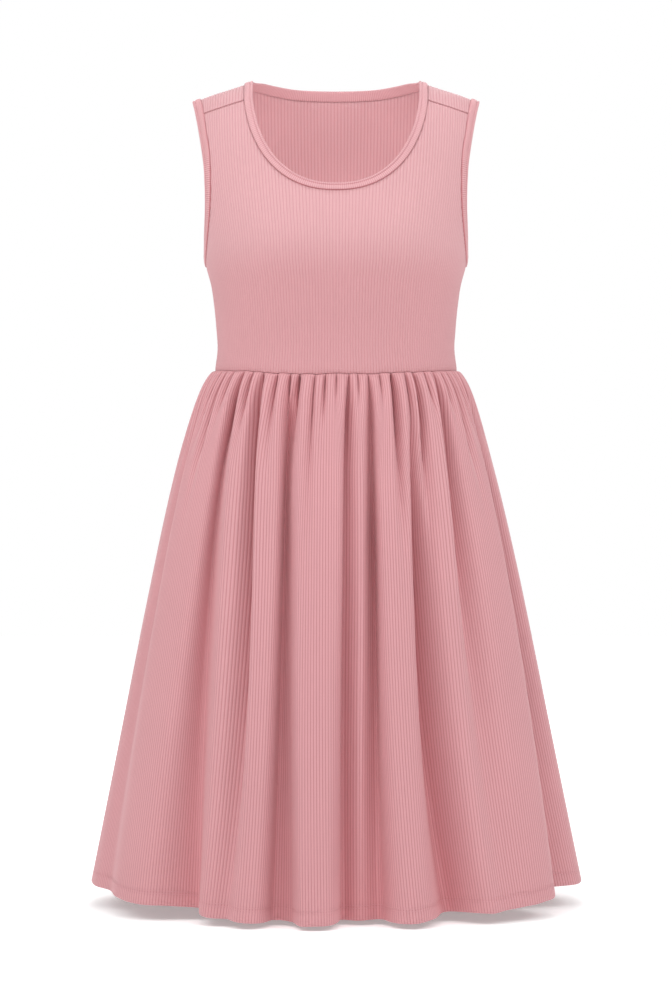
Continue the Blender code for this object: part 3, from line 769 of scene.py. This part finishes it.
# %% The skirt's sizes
SKIRT_DROP_SIDE = 0.5985
SKIRT_DROP_FRONT = 0.613
SKIRT_DROP_BACK = 0.606
HEM_SQUARENESS = 2.12
POUF_RUN = 0.012
POUF_EDGE_RUN = 0.0006
POUF_EDGE_SHARE = 0.32
BELLY_DROP = 0.200
THIRD_DOWN = 0.32
NEAR_WAIST = 0.08
SEAM_FLAT = 1.3
FOLD_SPREAD_AT_WAIST = 1.7
FOLD_WIDENING = 1.1
FOLD_FREE_EDGE = 6.0
SWAY_DROPS = (0.0, 0.10, 0.24, 0.62)
SWAY = (0.0, -0.0014, -0.0003, 0.0006)

Flare = namedtuple("Flare", "at_waist pouf flare belly")
SKIRT_SIDE = Flare(0.1428, 0.0102, 0.2188, 0.0106)
SKIRT_FRONT = Flare(0.1075, 0.012, 0.1450, 0.0060)
SKIRT_BACK = Flare(0.0895, 0.014, 0.1550, 0.0120)

Gather = namedtuple("Gather", "angle depth run")
FRONT_GATHERS = (
    Gather(-84.0, 0.0065, 0.060),
    Gather(-77.5, 0.0075, 0.090),
    Gather(-71.0, 0.0055, 0.060),
    Gather(-65.0, 0.0075, 0.060),
    Gather(-59.5, 0.0080, 0.105),
    Gather(-54.5, 0.0055, 0.045),
    Gather(-46.8, 0.0070, 0.085),
    Gather(-41.2, 0.0080, 0.055),
    Gather(-35.4, 0.0080, 0.080),
    Gather(-27.5, 0.0070, 0.075),
    Gather(-21.0, 0.0085, 0.075),
    Gather(-16.8, 0.0105, 0.075),
    Gather(-9.4, 0.0050, 0.170),
    Gather(-4.8, 0.0060, 0.050),
    Gather(0.2, 0.0045, 0.030),
    Gather(6.0, 0.0045, 0.080),
    Gather(9.8, 0.0040, 0.030),
    Gather(14.6, 0.0040, 0.080),
    Gather(20.0, 0.0045, 0.028),
    Gather(25.9, 0.0115, 0.160),
    Gather(33.2, 0.0060, 0.085),
    Gather(37.5, 0.0125, 0.165),
    Gather(44.5, 0.0055, 0.040),
    Gather(50.2, 0.0065, 0.085),
    Gather(56.0, 0.0055, 0.045),
    Gather(61.5, 0.0075, 0.105),
    Gather(67.5, 0.0060, 0.060),
    Gather(73.0, 0.0075, 0.105),
    Gather(78.6, 0.0060, 0.060),
    Gather(84.3, 0.0050, 0.050),
)
BACK_SHUFFLE = 1.1
BACK_GATHERS = tuple(
    Gather(
        -row.angle + BACK_SHUFFLE * math.sin(0.31 * row.angle),
        0.95 * row.depth,
        1.05 * row.run,
    )
    for row in reversed(FRONT_GATHERS)
)

Fold = namedtuple("Fold", "waist third hem top_depth third_depth hem_depth spread lean hem_lean")
FRONT_FOLDS = (
    Fold(-71.0, -74.0, -70.0, 0.006, 0.006, 0.010, 5.5, 0.20, 0.10),
    Fold(-46.8, -43.7, -40.0, 0.011, 0.020, 0.041, 5.2, -0.50, 0.20),
    Fold(-35.4, -29.6, -26.7, 0.021, 0.025, 0.012, 3.4, 0.36, 0.10),
    Fold(-18.8, -16.4, -13.9, 0.021, 0.027, 0.034, 3.9, -0.20, -0.20),
    Fold(-15.6, -14.0, -10.2, 0.000, 0.006, 0.010, 2.3, 0.00, 0.00),
    Fold(6.0, 4.7, 3.8, 0.014, 0.020, 0.046, 5.6, -0.30, -0.20),
    Fold(14.6, 11.6, 8.3, 0.012, 0.031, 0.039, 4.2, 0.22, 0.28),
    Fold(33.2, 29.0, 30.9, 0.001, 0.033, 0.048, 6.0, -0.30, -0.10),
    Fold(50.2, 45.4, 42.0, 0.018, 0.022, 0.005, 5.8, -0.10, 0.10),
    Fold(73.0, 75.5, 71.3, 0.012, 0.040, 0.041, 5.2, -0.20, -0.20),
)
BACK_FOLDS = (
    Fold(-73.7, -73.0, -69.0, 0.007, 0.014, 0.030, 6.0, 0.20, 0.20),
    Fold(-50.0, -47.0, -45.0, 0.016, 0.025, 0.034, 5.0, -0.30, -0.30),
    Fold(-34.0, -31.0, -29.0, 0.013, 0.019, 0.010, 4.6, 0.35, 0.20),
    Fold(-15.7, -14.0, -12.0, 0.016, 0.030, 0.050, 4.6, -0.25, -0.25),
    Fold(9.5, 8.5, 11.0, 0.014, 0.023, 0.032, 4.6, 0.30, 0.30),
    Fold(26.6, 27.0, 30.0, 0.012, 0.026, 0.046, 4.6, -0.30, -0.30),
    Fold(45.8, 47.0, 46.0, 0.015, 0.023, 0.020, 5.0, 0.20, 0.20),
    Fold(71.0, 73.0, 68.0, 0.007, 0.014, 0.030, 6.0, -0.20, -0.20),
)

# %% The skirt's form
SLIT_START = 0.0025
SLIT_RISE = 0.004
SLIT_DEEPER = 2.3
SLIT_POWER = 2.0
SLIT_SOFTENS = 0.085


def widen(size, drop):
    """One half size of the skirt at a drop below the waist seam."""
    at_once = POUF_EDGE_SHARE * (1 - np.exp(-drop / POUF_EDGE_RUN))
    pouf = size.pouf * (at_once + (1 - POUF_EDGE_SHARE) * (1 - np.exp(-drop / POUF_RUN)))
    belly = size.belly * (drop / BELLY_DROP) * np.exp(1 - drop / BELLY_DROP)
    return size.at_waist + pouf + size.flare * drop + belly


def through_three(fall, at_waist, at_third, at_hem):
    """A curve through values at the waist, a third of the way down and at the hem."""
    first = (fall - THIRD_DOWN) * (fall - 1) / THIRD_DOWN
    second = fall * (fall - 1) / (THIRD_DOWN * (THIRD_DOWN - 1))
    third = fall * (fall - THIRD_DOWN) / (1 - THIRD_DOWN)
    return at_waist * first + at_third * second + at_hem * third


def grain_to_angle(grain, fall, folds):
    """The threads lean with the folds: the angle that a grain angle has come to at a fall."""
    anchors = np.array([-90.0] + [fold.waist for fold in folds] + [90.0])
    reached = np.stack(
        [np.full_like(fall, -90.0)]
        + [through_three(fall, fold.waist, fold.third, fold.hem) for fold in folds]
        + [np.full_like(fall, 90.0)]
    )
    return np.stack([np.interp(grain, anchors, reached[:, row]) for row in range(len(fall))])


def fold_valleys(grain, fall, folds):
    """How far the large folds push the cloth in, and how far sideways."""
    inward = np.zeros((len(fall), len(grain)))
    sideways = np.zeros_like(inward)
    falls = (0.0, NEAR_WAIST, THIRD_DOWN, 1.0)
    for fold in folds:
        spread = FOLD_SPREAD_AT_WAIST + (fold.spread - FOLD_SPREAD_AT_WAIST) * fall**FOLD_WIDENING
        depths = (0.0, fold.top_depth, fold.third_depth, fold.hem_depth)
        valley = np.exp(-(((grain[None] - fold.waist) / spread[:, None]) ** 2))
        depth = np.interp(fall, falls, depths)[:, None] * valley
        inward += depth
        lean = np.interp(fall, (THIRD_DOWN, 1.0), (fold.lean, fold.hem_lean))[:, None]
        sideways += lean * depth * valley
    free = np.clip((90 - np.abs(grain)) / FOLD_FREE_EDGE, 0, 1)[None]
    return inward * free, sideways * free


def gather_valleys(grain, fall, gathers):
    """Short gathers: narrow slits at the seam that open out and run out further down."""
    middles = [(a.angle + b.angle) / 2 for a, b in zip(gathers, gathers[1:])]
    ridges = [SEAM_FLAT - 90] + middles + [90 - SEAM_FLAT]
    drop = fall * SKIRT_DROP_SIDE
    soft = (1 - np.exp(-drop / SLIT_SOFTENS))[:, None]
    inward = np.zeros((len(fall), len(grain)))
    for gather, before, after in zip(gathers, ridges, ridges[1:]):
        phase = np.interp(grain, (before, gather.angle, after), (0, 1, 0), 0, 0)
        slit = 1 - (1 - phase**SLIT_POWER) ** (1 / SLIT_POWER)
        wave = (1 - np.cos(math.pi * phase)) / 2
        valley = slit[None] * (1 - soft) + wave[None] * soft
        depth = gather.depth * (1 + (SLIT_DEEPER - 1) * (1 - soft[:, 0]))
        rise = SLIT_START + (depth - SLIT_START) * (1 - np.exp(-drop / SLIT_RISE))
        inward += (rise * np.exp(-((drop / gather.run) ** 2)))[:, None] * valley
    return inward


def skirt_form(grain, fall, side):
    """The skirt's outer face, a row for each fall and a column for each grain angle."""
    folds = FRONT_FOLDS if side == FRONT else BACK_FOLDS
    gathers = FRONT_GATHERS if side == FRONT else BACK_GATHERS
    angle = np.radians(grain_to_angle(grain, fall, folds))
    drop = fall[:, None] * SKIRT_DROP_SIDE
    half_width = widen(SKIRT_SIDE, drop)
    depth = widen(SKIRT_FRONT if side == FRONT else SKIRT_BACK, drop)
    squareness = HEM_SQUARENESS + (SQUARENESS - HEM_SQUARENESS) * np.exp(-drop / BELLY_DROP)
    inward, sideways = fold_valleys(grain, fall, folds)
    inward = inward + gather_valleys(grain, fall, gathers)
    facing = np.hypot(depth * np.sin(angle), half_width * np.cos(angle))
    out_across = depth * np.sin(angle) / facing
    out_depth = half_width * np.cos(angle) / facing
    across = half_width * np.sin(angle) - inward * out_across + sideways * out_depth
    across = across + np.interp(drop, SWAY_DROPS, SWAY)
    out = depth * fullness(angle, squareness) - inward * out_depth - sideways * out_across
    middle = SKIRT_DROP_FRONT if side == FRONT else SKIRT_DROP_BACK
    full_drop = middle + (SKIRT_DROP_SIDE - middle) * np.sin(angle) ** 2
    height = waist_height(angle, side) - SEAM_GAP / 2 - fall[:, None] * full_drop
    return np.stack([across, -side * (out + SEAM_GAP / 2), height], axis=-1), inward


# %% [markdown]
# The ribs are spaced along the hem, where the cloth lies free. Higher up the same ribs share a
# shorter line. On the crest of each fold they keep their spacing, and the valleys swallow the
# rest, so every row has its own spacing between crest and valley.

# %% Ribs along the skirt
SKIRT_SAMPLES = 3
MOST_CROWDING = 2.2
EVEN_SHARE = 0.12
GATHERS_LEAD_TO = 0.030
FOLDS_LEAD_FROM = 0.120
FULL_SHADE_DEPTH_AT_WAIST = 0.020
FULL_SHADE_DEPTH_AT_HEM = 0.085
FULL_SHADE_DEPTH_GROWS = 0.55
FOLD_SHADE_SHARE = 0.46
FOLD_SHADE_NARROWS = 1.6


def crowd(cloth, hem_along, row_along, crests, valleys, grain):
    """Places along one row for cloth lengths along the hem, crowded towards the valleys."""
    marks = sorted([(at, 0) for at in crests] + [(at, 1) for at in valleys])
    placed = np.zeros_like(cloth)
    for (start, start_kind), (end, _) in zip(marks, marks[1:]):
        hem_start, hem_end = np.interp((start, end), grain, hem_along)
        row_start, row_end = np.interp((start, end), grain, row_along)
        here = (cloth >= hem_start) & (cloth <= hem_end)
        share = (cloth[here] - hem_start) / (hem_end - hem_start)
        crowding = np.clip((hem_end - hem_start) / (row_end - row_start), 1, MOST_CROWDING)
        from_crest = share if start_kind == 0 else 1 - share
        eased = 1 - (1 - from_crest) ** crowding
        eased = (1 - EVEN_SHARE) * eased + EVEN_SHARE * from_crest
        placed[here] = row_start + (eased if start_kind == 0 else 1 - eased) * (row_end - row_start)
    return placed


def crests_between(valleys):
    return [-90.0] + [(a + b) / 2 for a, b in zip(valleys, valleys[1:])] + [90.0]


def sample_skirt(form, inward, fall, grain, side, cloth, hem_along):
    """Picks the rib columns out of a finely drawn form, row by row, with painted shade for how deep they lie.
    """
    gathers = [row.angle for row in (FRONT_GATHERS if side == FRONT else BACK_GATHERS)]
    folds = [row.waist for row in (FRONT_FOLDS if side == FRONT else BACK_FOLDS)]
    rows = []
    pitches = []
    depths = []
    for points, depth, share in zip(form, inward, fall):
        along = lengths_along(points)
        drop = share * SKIRT_DROP_SIDE
        lead = np.clip((drop - GATHERS_LEAD_TO) / (FOLDS_LEAD_FROM - GATHERS_LEAD_TO), 0, 1)
        at = (1 - lead) * crowd(cloth, hem_along, along, crests_between(gathers), gathers, grain)
        at = at + lead * crowd(cloth, hem_along, along, crests_between(folds), folds, grain)
        rows.append(np.stack([np.interp(at, along, points[:, axis]) for axis in range(3)], -1))
        pitches.append(np.gradient(at) / (cloth[1] - cloth[0]))
        # How deep a fold lies sets how much painted shade its cloth gets.
        deeper = (FULL_SHADE_DEPTH_AT_HEM - FULL_SHADE_DEPTH_AT_WAIST) * share**FULL_SHADE_DEPTH_GROWS
        full_depth = FULL_SHADE_DEPTH_AT_WAIST + deeper
        depths.append(np.clip(np.interp(at, along, depth) / full_depth, 0, 1) ** FOLD_SHADE_NARROWS)
    return np.stack(rows), np.stack(pitches), FOLD_SHADE_SHARE * np.stack(depths)


def surface_normals(points):
    """Straight out of a grid of points whose rows go down and whose columns go to +X."""
    down = np.gradient(points, axis=0)
    around = np.gradient(points, axis=1)
    return unit(np.cross(down, around))


# %% [markdown]
# The hem is turned up once and sewn: the cloth goes round a small half circle and comes back up
# inside. A faint trough marks the sewing line.

# %% A skirt panel
SKIRT_LIP = 0.0055
HEM_ALLOWANCE = 0.018
HEM_STITCH_UP = 0.015
HEM_RADIUS = 0.0015
HEM_TROUGH = 0.0004
SKIRT_TOP_ROWS = (0.0, 0.0005, 0.0013, 0.0026, 0.0044, 0.007, 0.0105, 0.015, 0.021, 0.029, 0.039, 0.051, 0.065)
SKIRT_EVEN_ROWS = 24
HEM_ROWS = (0.019, 0.0165, 0.015, 0.0135, 0.011, 0.005)


def skirt_rows():
    """Falls from the waist to the hem, then round the turned edge and up again inside."""
    top = np.array(SKIRT_TOP_ROWS) / SKIRT_DROP_SIDE
    hem = 1 - np.array(HEM_ROWS) / SKIRT_DROP_SIDE
    edge = 1 - HEM_RADIUS / SKIRT_DROP_SIDE
    even = np.linspace(top[-1], hem[0], SKIRT_EVEN_ROWS + 2)[1:-1]
    outer = np.concatenate([top, even, hem, [edge]])
    turned = np.full(3, edge)
    inner = 1 - np.array([0.006, 0.012, HEM_ALLOWANCE]) / SKIRT_DROP_SIDE
    bend = np.radians([60, 120, 180])
    fall = np.concatenate([outer, turned, inner])
    inward = np.concatenate([np.zeros(len(outer)), 1 - np.cos(bend), np.full(3, 2.0)])
    under = np.concatenate([np.zeros(len(outer)), np.sin(bend), np.zeros(3)])
    return fall, inward * HEM_RADIUS, under * HEM_RADIUS


def skirt_panel(name, side):
    fall, inward, under = skirt_rows()
    grain = np.linspace(-90, 90, 4001)
    form, inward_folds = skirt_form(grain, fall, side)
    if side == BACK:
        form = form * (1, -1, 1)
    hem = skirt_form(grain, np.array([1.0]), side)[0][0]
    hem_along = lengths_along(hem)
    ribs = round(hem_along[-1] / RIB_PITCH)
    cloth = np.linspace(0, hem_along[-1], ribs * SKIRT_SAMPLES + 1)
    points, pitch, shade_values = sample_skirt(form, inward_folds, fall, grain, side, cloth, hem_along)
    order = np.argsort(fall, kind="stable")
    normal = np.empty_like(points)
    normal[order] = surface_normals(points[order])
    last = len(fall) - 6
    normal[last - 1 :] = normal[last - 2]
    phase = np.arange(len(cloth)) / SKIRT_SAMPLES
    relief = RIB_RELIEF * rib_height(phase)[None] * np.clip(pitch, 0.2, 1)
    up = ((1 - fall) * SKIRT_DROP_SIDE)[:, None]
    sewn = HEM_TROUGH * np.exp(-(((up - HEM_STITCH_UP) / 0.002) ** 2))
    facing = np.where(np.arange(len(fall)) > last, -1.0, 1.0)[:, None]
    shift = relief * facing - sewn * facing - inward[:, None]
    points = points + normal * shift[..., None]
    points[..., 2] -= under[:, None]
    lip = points[:1] - SKIRT_LIP * unit(points[:1] * (1, 1, 0))
    points = np.concatenate([lip, points])
    shade_values = np.concatenate([shade_values[:1], shade_values])
    if side == BACK:
        points = points * (1, -1, 1)
    along = lengths_along(points[:, points.shape[1] // 2])
    threads = np.stack(np.broadcast_arrays(phase[None], -along[:, None]), axis=-1)
    if side == FRONT:
        points = points[::-1]
        threads = threads[::-1]
        shade_values = shade_values[::-1]
    mesh = grid_cloth(points, threads, shade_values)
    print(name, ribs, "ribs along a hem of", round(float(hem_along[-1]), 3), "m")
    return finish_piece(name + "_knit", mesh, skirt_knit, name)


skirt_front = skirt_panel("skirt_front", FRONT)
skirt_back = skirt_panel("skirt_back", BACK)

# %% [markdown]
# ## The bindings
# The neck and the armholes are bound with a narrow folded strip of the same knit, whose ribs
# lie across it. Its section is drawn once, a rounded band that wraps the panel's edge, and
# carried round the edge as a closed ring. A curve with a bevel would twist at the shoulder, so
# each section is set square to the edge and to the figure's surface.

# %% The binding's section
BINDING_PITCH = 0.0025
BINDING_SAMPLES = 3
NECK_RELIEF = 0.00018
ARMHOLE_RELIEF = 0.00034
NECKBAND_NARROWS = 0.20
# Painted shade in the bindings' creases, darker lower down the edge.
CREASE_SHADE_SHARE = 0.85
CREASE_SHADE_FADES = 0.70
# A corner's last value is how much painted shade its crease gets.
Corner = namedtuple("Corner", "outward lift ribbed crease")
BINDING_SECTION = (
    Corner(0.0001, -0.00100, 0.0, 1.0),
    Corner(0.0004, -0.00020, 0.0, 1.0),
    Corner(0.0009, 0.00080, 0.2, 0.9),
    Corner(0.0015, 0.00135, 0.6, 0.1),
    Corner(0.0028, 0.00160, 1.0, 0.0),
    Corner(0.0048, 0.00165, 1.0, 0.0),
    Corner(0.0064, 0.00155, 1.0, 0.0),
    Corner(0.0074, 0.00135, 0.8, 0.1),
    Corner(0.0080, 0.00050, 0.2, 0.9),
    Corner(0.0087, 0.00125, 0.5, 0.1),
    Corner(0.0100, 0.00135, 0.8, 0.0),
    Corner(0.0111, 0.00070, 0.9, 0.0),
    Corner(0.0113, -0.00020, 0.8, 0.0),
    Corner(0.0108, -0.00085, 0.8, 0.1),
    Corner(0.0096, -0.00125, 1.0, 0.2),
    Corner(0.0060, -0.00145, 1.0, 0.2),
    Corner(0.0020, -0.00165, 1.0, 0.3),
    Corner(-0.0008, -0.00195, 0.6, 0.4),
    Corner(-0.0013, -0.00155, 0.0, 0.8),
)


def read_along(places, along, points):
    return np.stack([np.interp(places, along, points[:, axis]) for axis in range(3)], -1)


def ring_of(edge):
    """Even places round a closed edge, a few to each rib, and the directions out of the cloth."""
    closed = np.concatenate([edge, edge[:1]])
    points = figure_point(closed[:, 0], closed[:, 1])
    along = lengths_along(points)
    ribs = round(along[-1] / BINDING_PITCH)
    steps = ribs * BINDING_SAMPLES
    places = np.arange(steps) * along[-1] / steps
    normal = figure_normal(closed[:, 0], closed[:, 1])
    print("edge of", round(float(along[-1]), 3), "m")
    return read_along(places, along, points), unit(read_along(places, along, normal)), ribs


def carried_round(name, edge, node, material, relief, narrows=0.0):
    here, normal, ribs = ring_of(edge)
    reach = 4
    ahead = np.roll(here, -reach, axis=0) - np.roll(here, reach, axis=0)
    outward = unit(np.cross(normal, ahead))
    phase = np.arange(len(here)) / BINDING_SAMPLES
    ribbed = relief * rib_height(phase)
    lowness = np.clip(-here[:, 2] / NECK_DROP_FRONT, 0, 1) ** 2
    narrowed = 1 - narrows * lowness * (here[:, 1] < 0)
    section = np.array(BINDING_SECTION)
    middle = section[:, :2].mean(axis=0)
    away = unit((section[:, :2] - middle) * (0.25, 1.0))
    rows = []
    for corner, direction in zip(section, away):
        out = corner[0] + direction[0] * ribbed * corner[2]
        lift = corner[1] + direction[1] * ribbed * corner[2]
        rows.append(here + outward * (out * narrowed)[:, None] + normal * lift[:, None])
    points = np.stack(rows)
    points = np.concatenate([points, points[:1]])
    points = np.concatenate([points, points[:, :1]], axis=1)
    across = lengths_along(np.concatenate([section[:, :2], section[:1, :2]]))
    phase = np.append(phase, ribs)
    threads = np.stack(np.broadcast_arrays(phase[None], across[:, None]), axis=-1)
    # Painted shade: the creases get darker further down the edge.
    shade_lower_down = 1 - CREASE_SHADE_FADES * (1 - np.append(lowness, lowness[0]))
    crease_shade = CREASE_SHADE_SHARE * np.append(section[:, 3], section[0, 3])[:, None] * shade_lower_down
    mesh = grid_cloth(points, threads, crease_shade)
    bmesh.ops.remove_doubles(mesh, verts=mesh.verts, dist=1e-6)
    bmesh.ops.recalc_face_normals(mesh, faces=mesh.faces)
    print(name, ribs, "ribs")
    return finish_piece(name, mesh, material, node, wall=0)


# %% The neck's and the armholes' edges
EDGE_POINTS = 160


def neck_edge():
    """Round the neck: half of it from the middle of the front to the middle of the back."""
    top = math.acos((-SHOULDER_SEAM_AT_NECK / NECK_DROP_FRONT) ** (NECK_ROUNDNESS / 2))
    turn = np.linspace(0, top, EDGE_POINTS)
    across = NECK_HALF_WIDTH * np.sin(turn) ** (2 / NECK_ROUNDNESS)
    height = -NECK_DROP_FRONT * np.cos(turn) ** (2 / NECK_ROUNDNESS)
    front = on_figure(across, height, FRONT)
    ridge = np.array([on_figure(NECK_HALF_WIDTH, NECK_BACK_SIDE, BACK)[0], 0.0])
    share = np.linspace(0, 1, EDGE_POINTS // 4)[1:-1, None]
    over = front[-1] + (ridge - front[-1]) * share
    across = np.linspace(NECK_HALF_WIDTH, 0, EDGE_POINTS)
    rise = NECK_BACK_SIDE - NECK_BACK_CENTRE
    back = on_figure(across, NECK_BACK_CENTRE + rise * (across / NECK_HALF_WIDTH) ** 2, BACK)
    half = np.concatenate([front, over, back])
    return np.concatenate([half[:-1], (half * (-1, 1))[:0:-1]])


def armhole_edge(side_of_body):
    """Round an armhole: up its front, over the shoulder's ridge and down its back."""
    far = reach_at(SHOULDER_TIP_HEIGHT - UNDERARM_HEIGHT)
    reach = np.linspace(far, -far, 2 * EDGE_POINTS)
    height = SHOULDER_TIP_HEIGHT - drop_at(reach)
    front = read_table(ARMHOLE, "front_across", height)
    back = read_table(ARMHOLE, "back_across", height)
    across = np.where(reach > 0, front, back)
    edge = on_figure(across, height, np.where(reach > 0, FRONT, BACK))
    return edge[:-1] * (side_of_body, 1)


neckband = carried_round(
    "neckband_knit", neck_edge(), "neckband", band_knit, NECK_RELIEF, narrows=NECKBAND_NARROWS
)
left_edge = armhole_edge(1)[::-1]
left_binding = carried_round(
    "armhole_left_knit", left_edge, "armhole_binding_left", armhole_knit, ARMHOLE_RELIEF
)
right_edge = armhole_edge(-1)
right_binding = carried_round(
    "armhole_right_knit", right_edge, "armhole_binding_right", armhole_knit, ARMHOLE_RELIEF
)

# %% [markdown]
# ## Sewing
# The hem and the seam allowance above the waist are held by two rows of stitches. Each stitch
# is a tiny ellipsoid with few faces, laid along the surface, and a panel's stitches are joined
# into one mesh.

# %% Stitches
STITCH_LENGTH = 0.0026
STITCH_EVERY = 0.0034
STITCH_THICK = 0.00020


def copies_of_a_stitch(count):
    """Numbered ellipsoids, all at the origin, made by doubling the first one."""
    mesh = bmesh.new()
    bmesh.ops.create_uvsphere(mesh, u_segments=6, v_segments=4, radius=1)
    number = mesh.verts.layers.int.new("number")
    made = 1
    while made < count:
        everything = mesh.verts[:] + mesh.edges[:] + mesh.faces[:]
        for part in bmesh.ops.duplicate(mesh, geom=everything)["geom"]:
            if isinstance(part, bmesh.types.BMVert):
                part[number] += made
        made *= 2
    spare = [vert for vert in mesh.verts if vert[number] >= count]
    bmesh.ops.delete(mesh, geom=spare, context="VERTS")
    return mesh, number


def add_stitches(name, lines, outward):
    """One mesh with a stitch at even steps along each line of points."""
    places = []
    for line, normal in zip(lines, outward):
        along = lengths_along(line)
        count = int(along[-1] / STITCH_EVERY)
        at = (np.arange(count) + 0.5) * along[-1] / count
        start = read_along(at - STITCH_LENGTH / 2, along, line)
        end = read_along(at + STITCH_LENGTH / 2, along, line)
        out = unit(read_along(at, along, normal))
        side = unit(np.cross(end - start, out))
        places.append(np.stack([(start + end) / 2, (end - start) / 2, side, out], axis=1))
    places = np.concatenate(places)
    mesh, number = copies_of_a_stitch(len(places))
    for vert in mesh.verts:
        middle, half_run, side, out = places[vert[number]]
        local = vert.co
        thick = STITCH_THICK * (side * local.y + out * local.z)
        vert.co = middle + half_run * local.x + thick
    mesh.verts.layers.int.remove(number)
    bmesh.ops.recalc_face_normals(mesh, faces=mesh.faces)
    print(name, len(places), "stitches")
    return finish_piece(name, mesh, thread_material, None, wall=0)


thread_material = bpy.data.materials.new("sewing_thread")
thread_material.use_nodes = True
thread_tree = thread_material.node_tree
thread_shader = thread_tree.nodes["Principled BSDF"]
thread_shader.inputs["Roughness"].default_value = 0.6
thread_place = thread_tree.nodes.new("ShaderNodeTexCoord")
thread_dye = thread_tree.nodes.new("ShaderNodeGroup")
thread_dye.node_tree = heather_group
thread_dye.inputs["Amount"].default_value = 0.15
thread_tree.links.new(thread_place.outputs["Object"], thread_dye.inputs["Place"])
thread_colour = mixed(thread_tree, "MULTIPLY", 1.0, THREAD_COLOUR, thread_dye.outputs["Tone"])
thread_tree.links.new(thread_colour, thread_shader.inputs["Base Color"])


def hem_stitches(name, side):
    lines = []
    normals = []
    for up in (HEM_STITCH_UP - 0.0014, HEM_STITCH_UP + 0.0014):
        fall = 1 - (up + np.array([0.001, 0, -0.001])) / SKIRT_DROP_SIDE
        near = skirt_form(np.linspace(-89.5, 89.5, 1500), fall, side)[0]
        normal = surface_normals(near)[1] * side
        lines.append(near[1] + normal * 0.0001)
        normals.append(normal)
    return add_stitches(name, lines, normals)


def waist_stitches(name, side):
    lines = []
    normals = []
    angle = np.radians(np.linspace(-89, 89, 600))
    for up in (0.0030, 0.0052):
        reach = side * reach_at(ridge_height(angle) - waist_height(angle, side) - up)
        normal = figure_normal(angle, reach)
        lines.append(figure_point(angle, reach) + normal * 0.0001)
        normals.append(normal)
    return add_stitches(name, lines, normals)


hem_front = hem_stitches("hem_stitches_front", FRONT)
hem_back = hem_stitches("hem_stitches_back", BACK)
waist_front = waist_stitches("waist_stitches_front", FRONT)
waist_back = waist_stitches("waist_stitches_back", BACK)
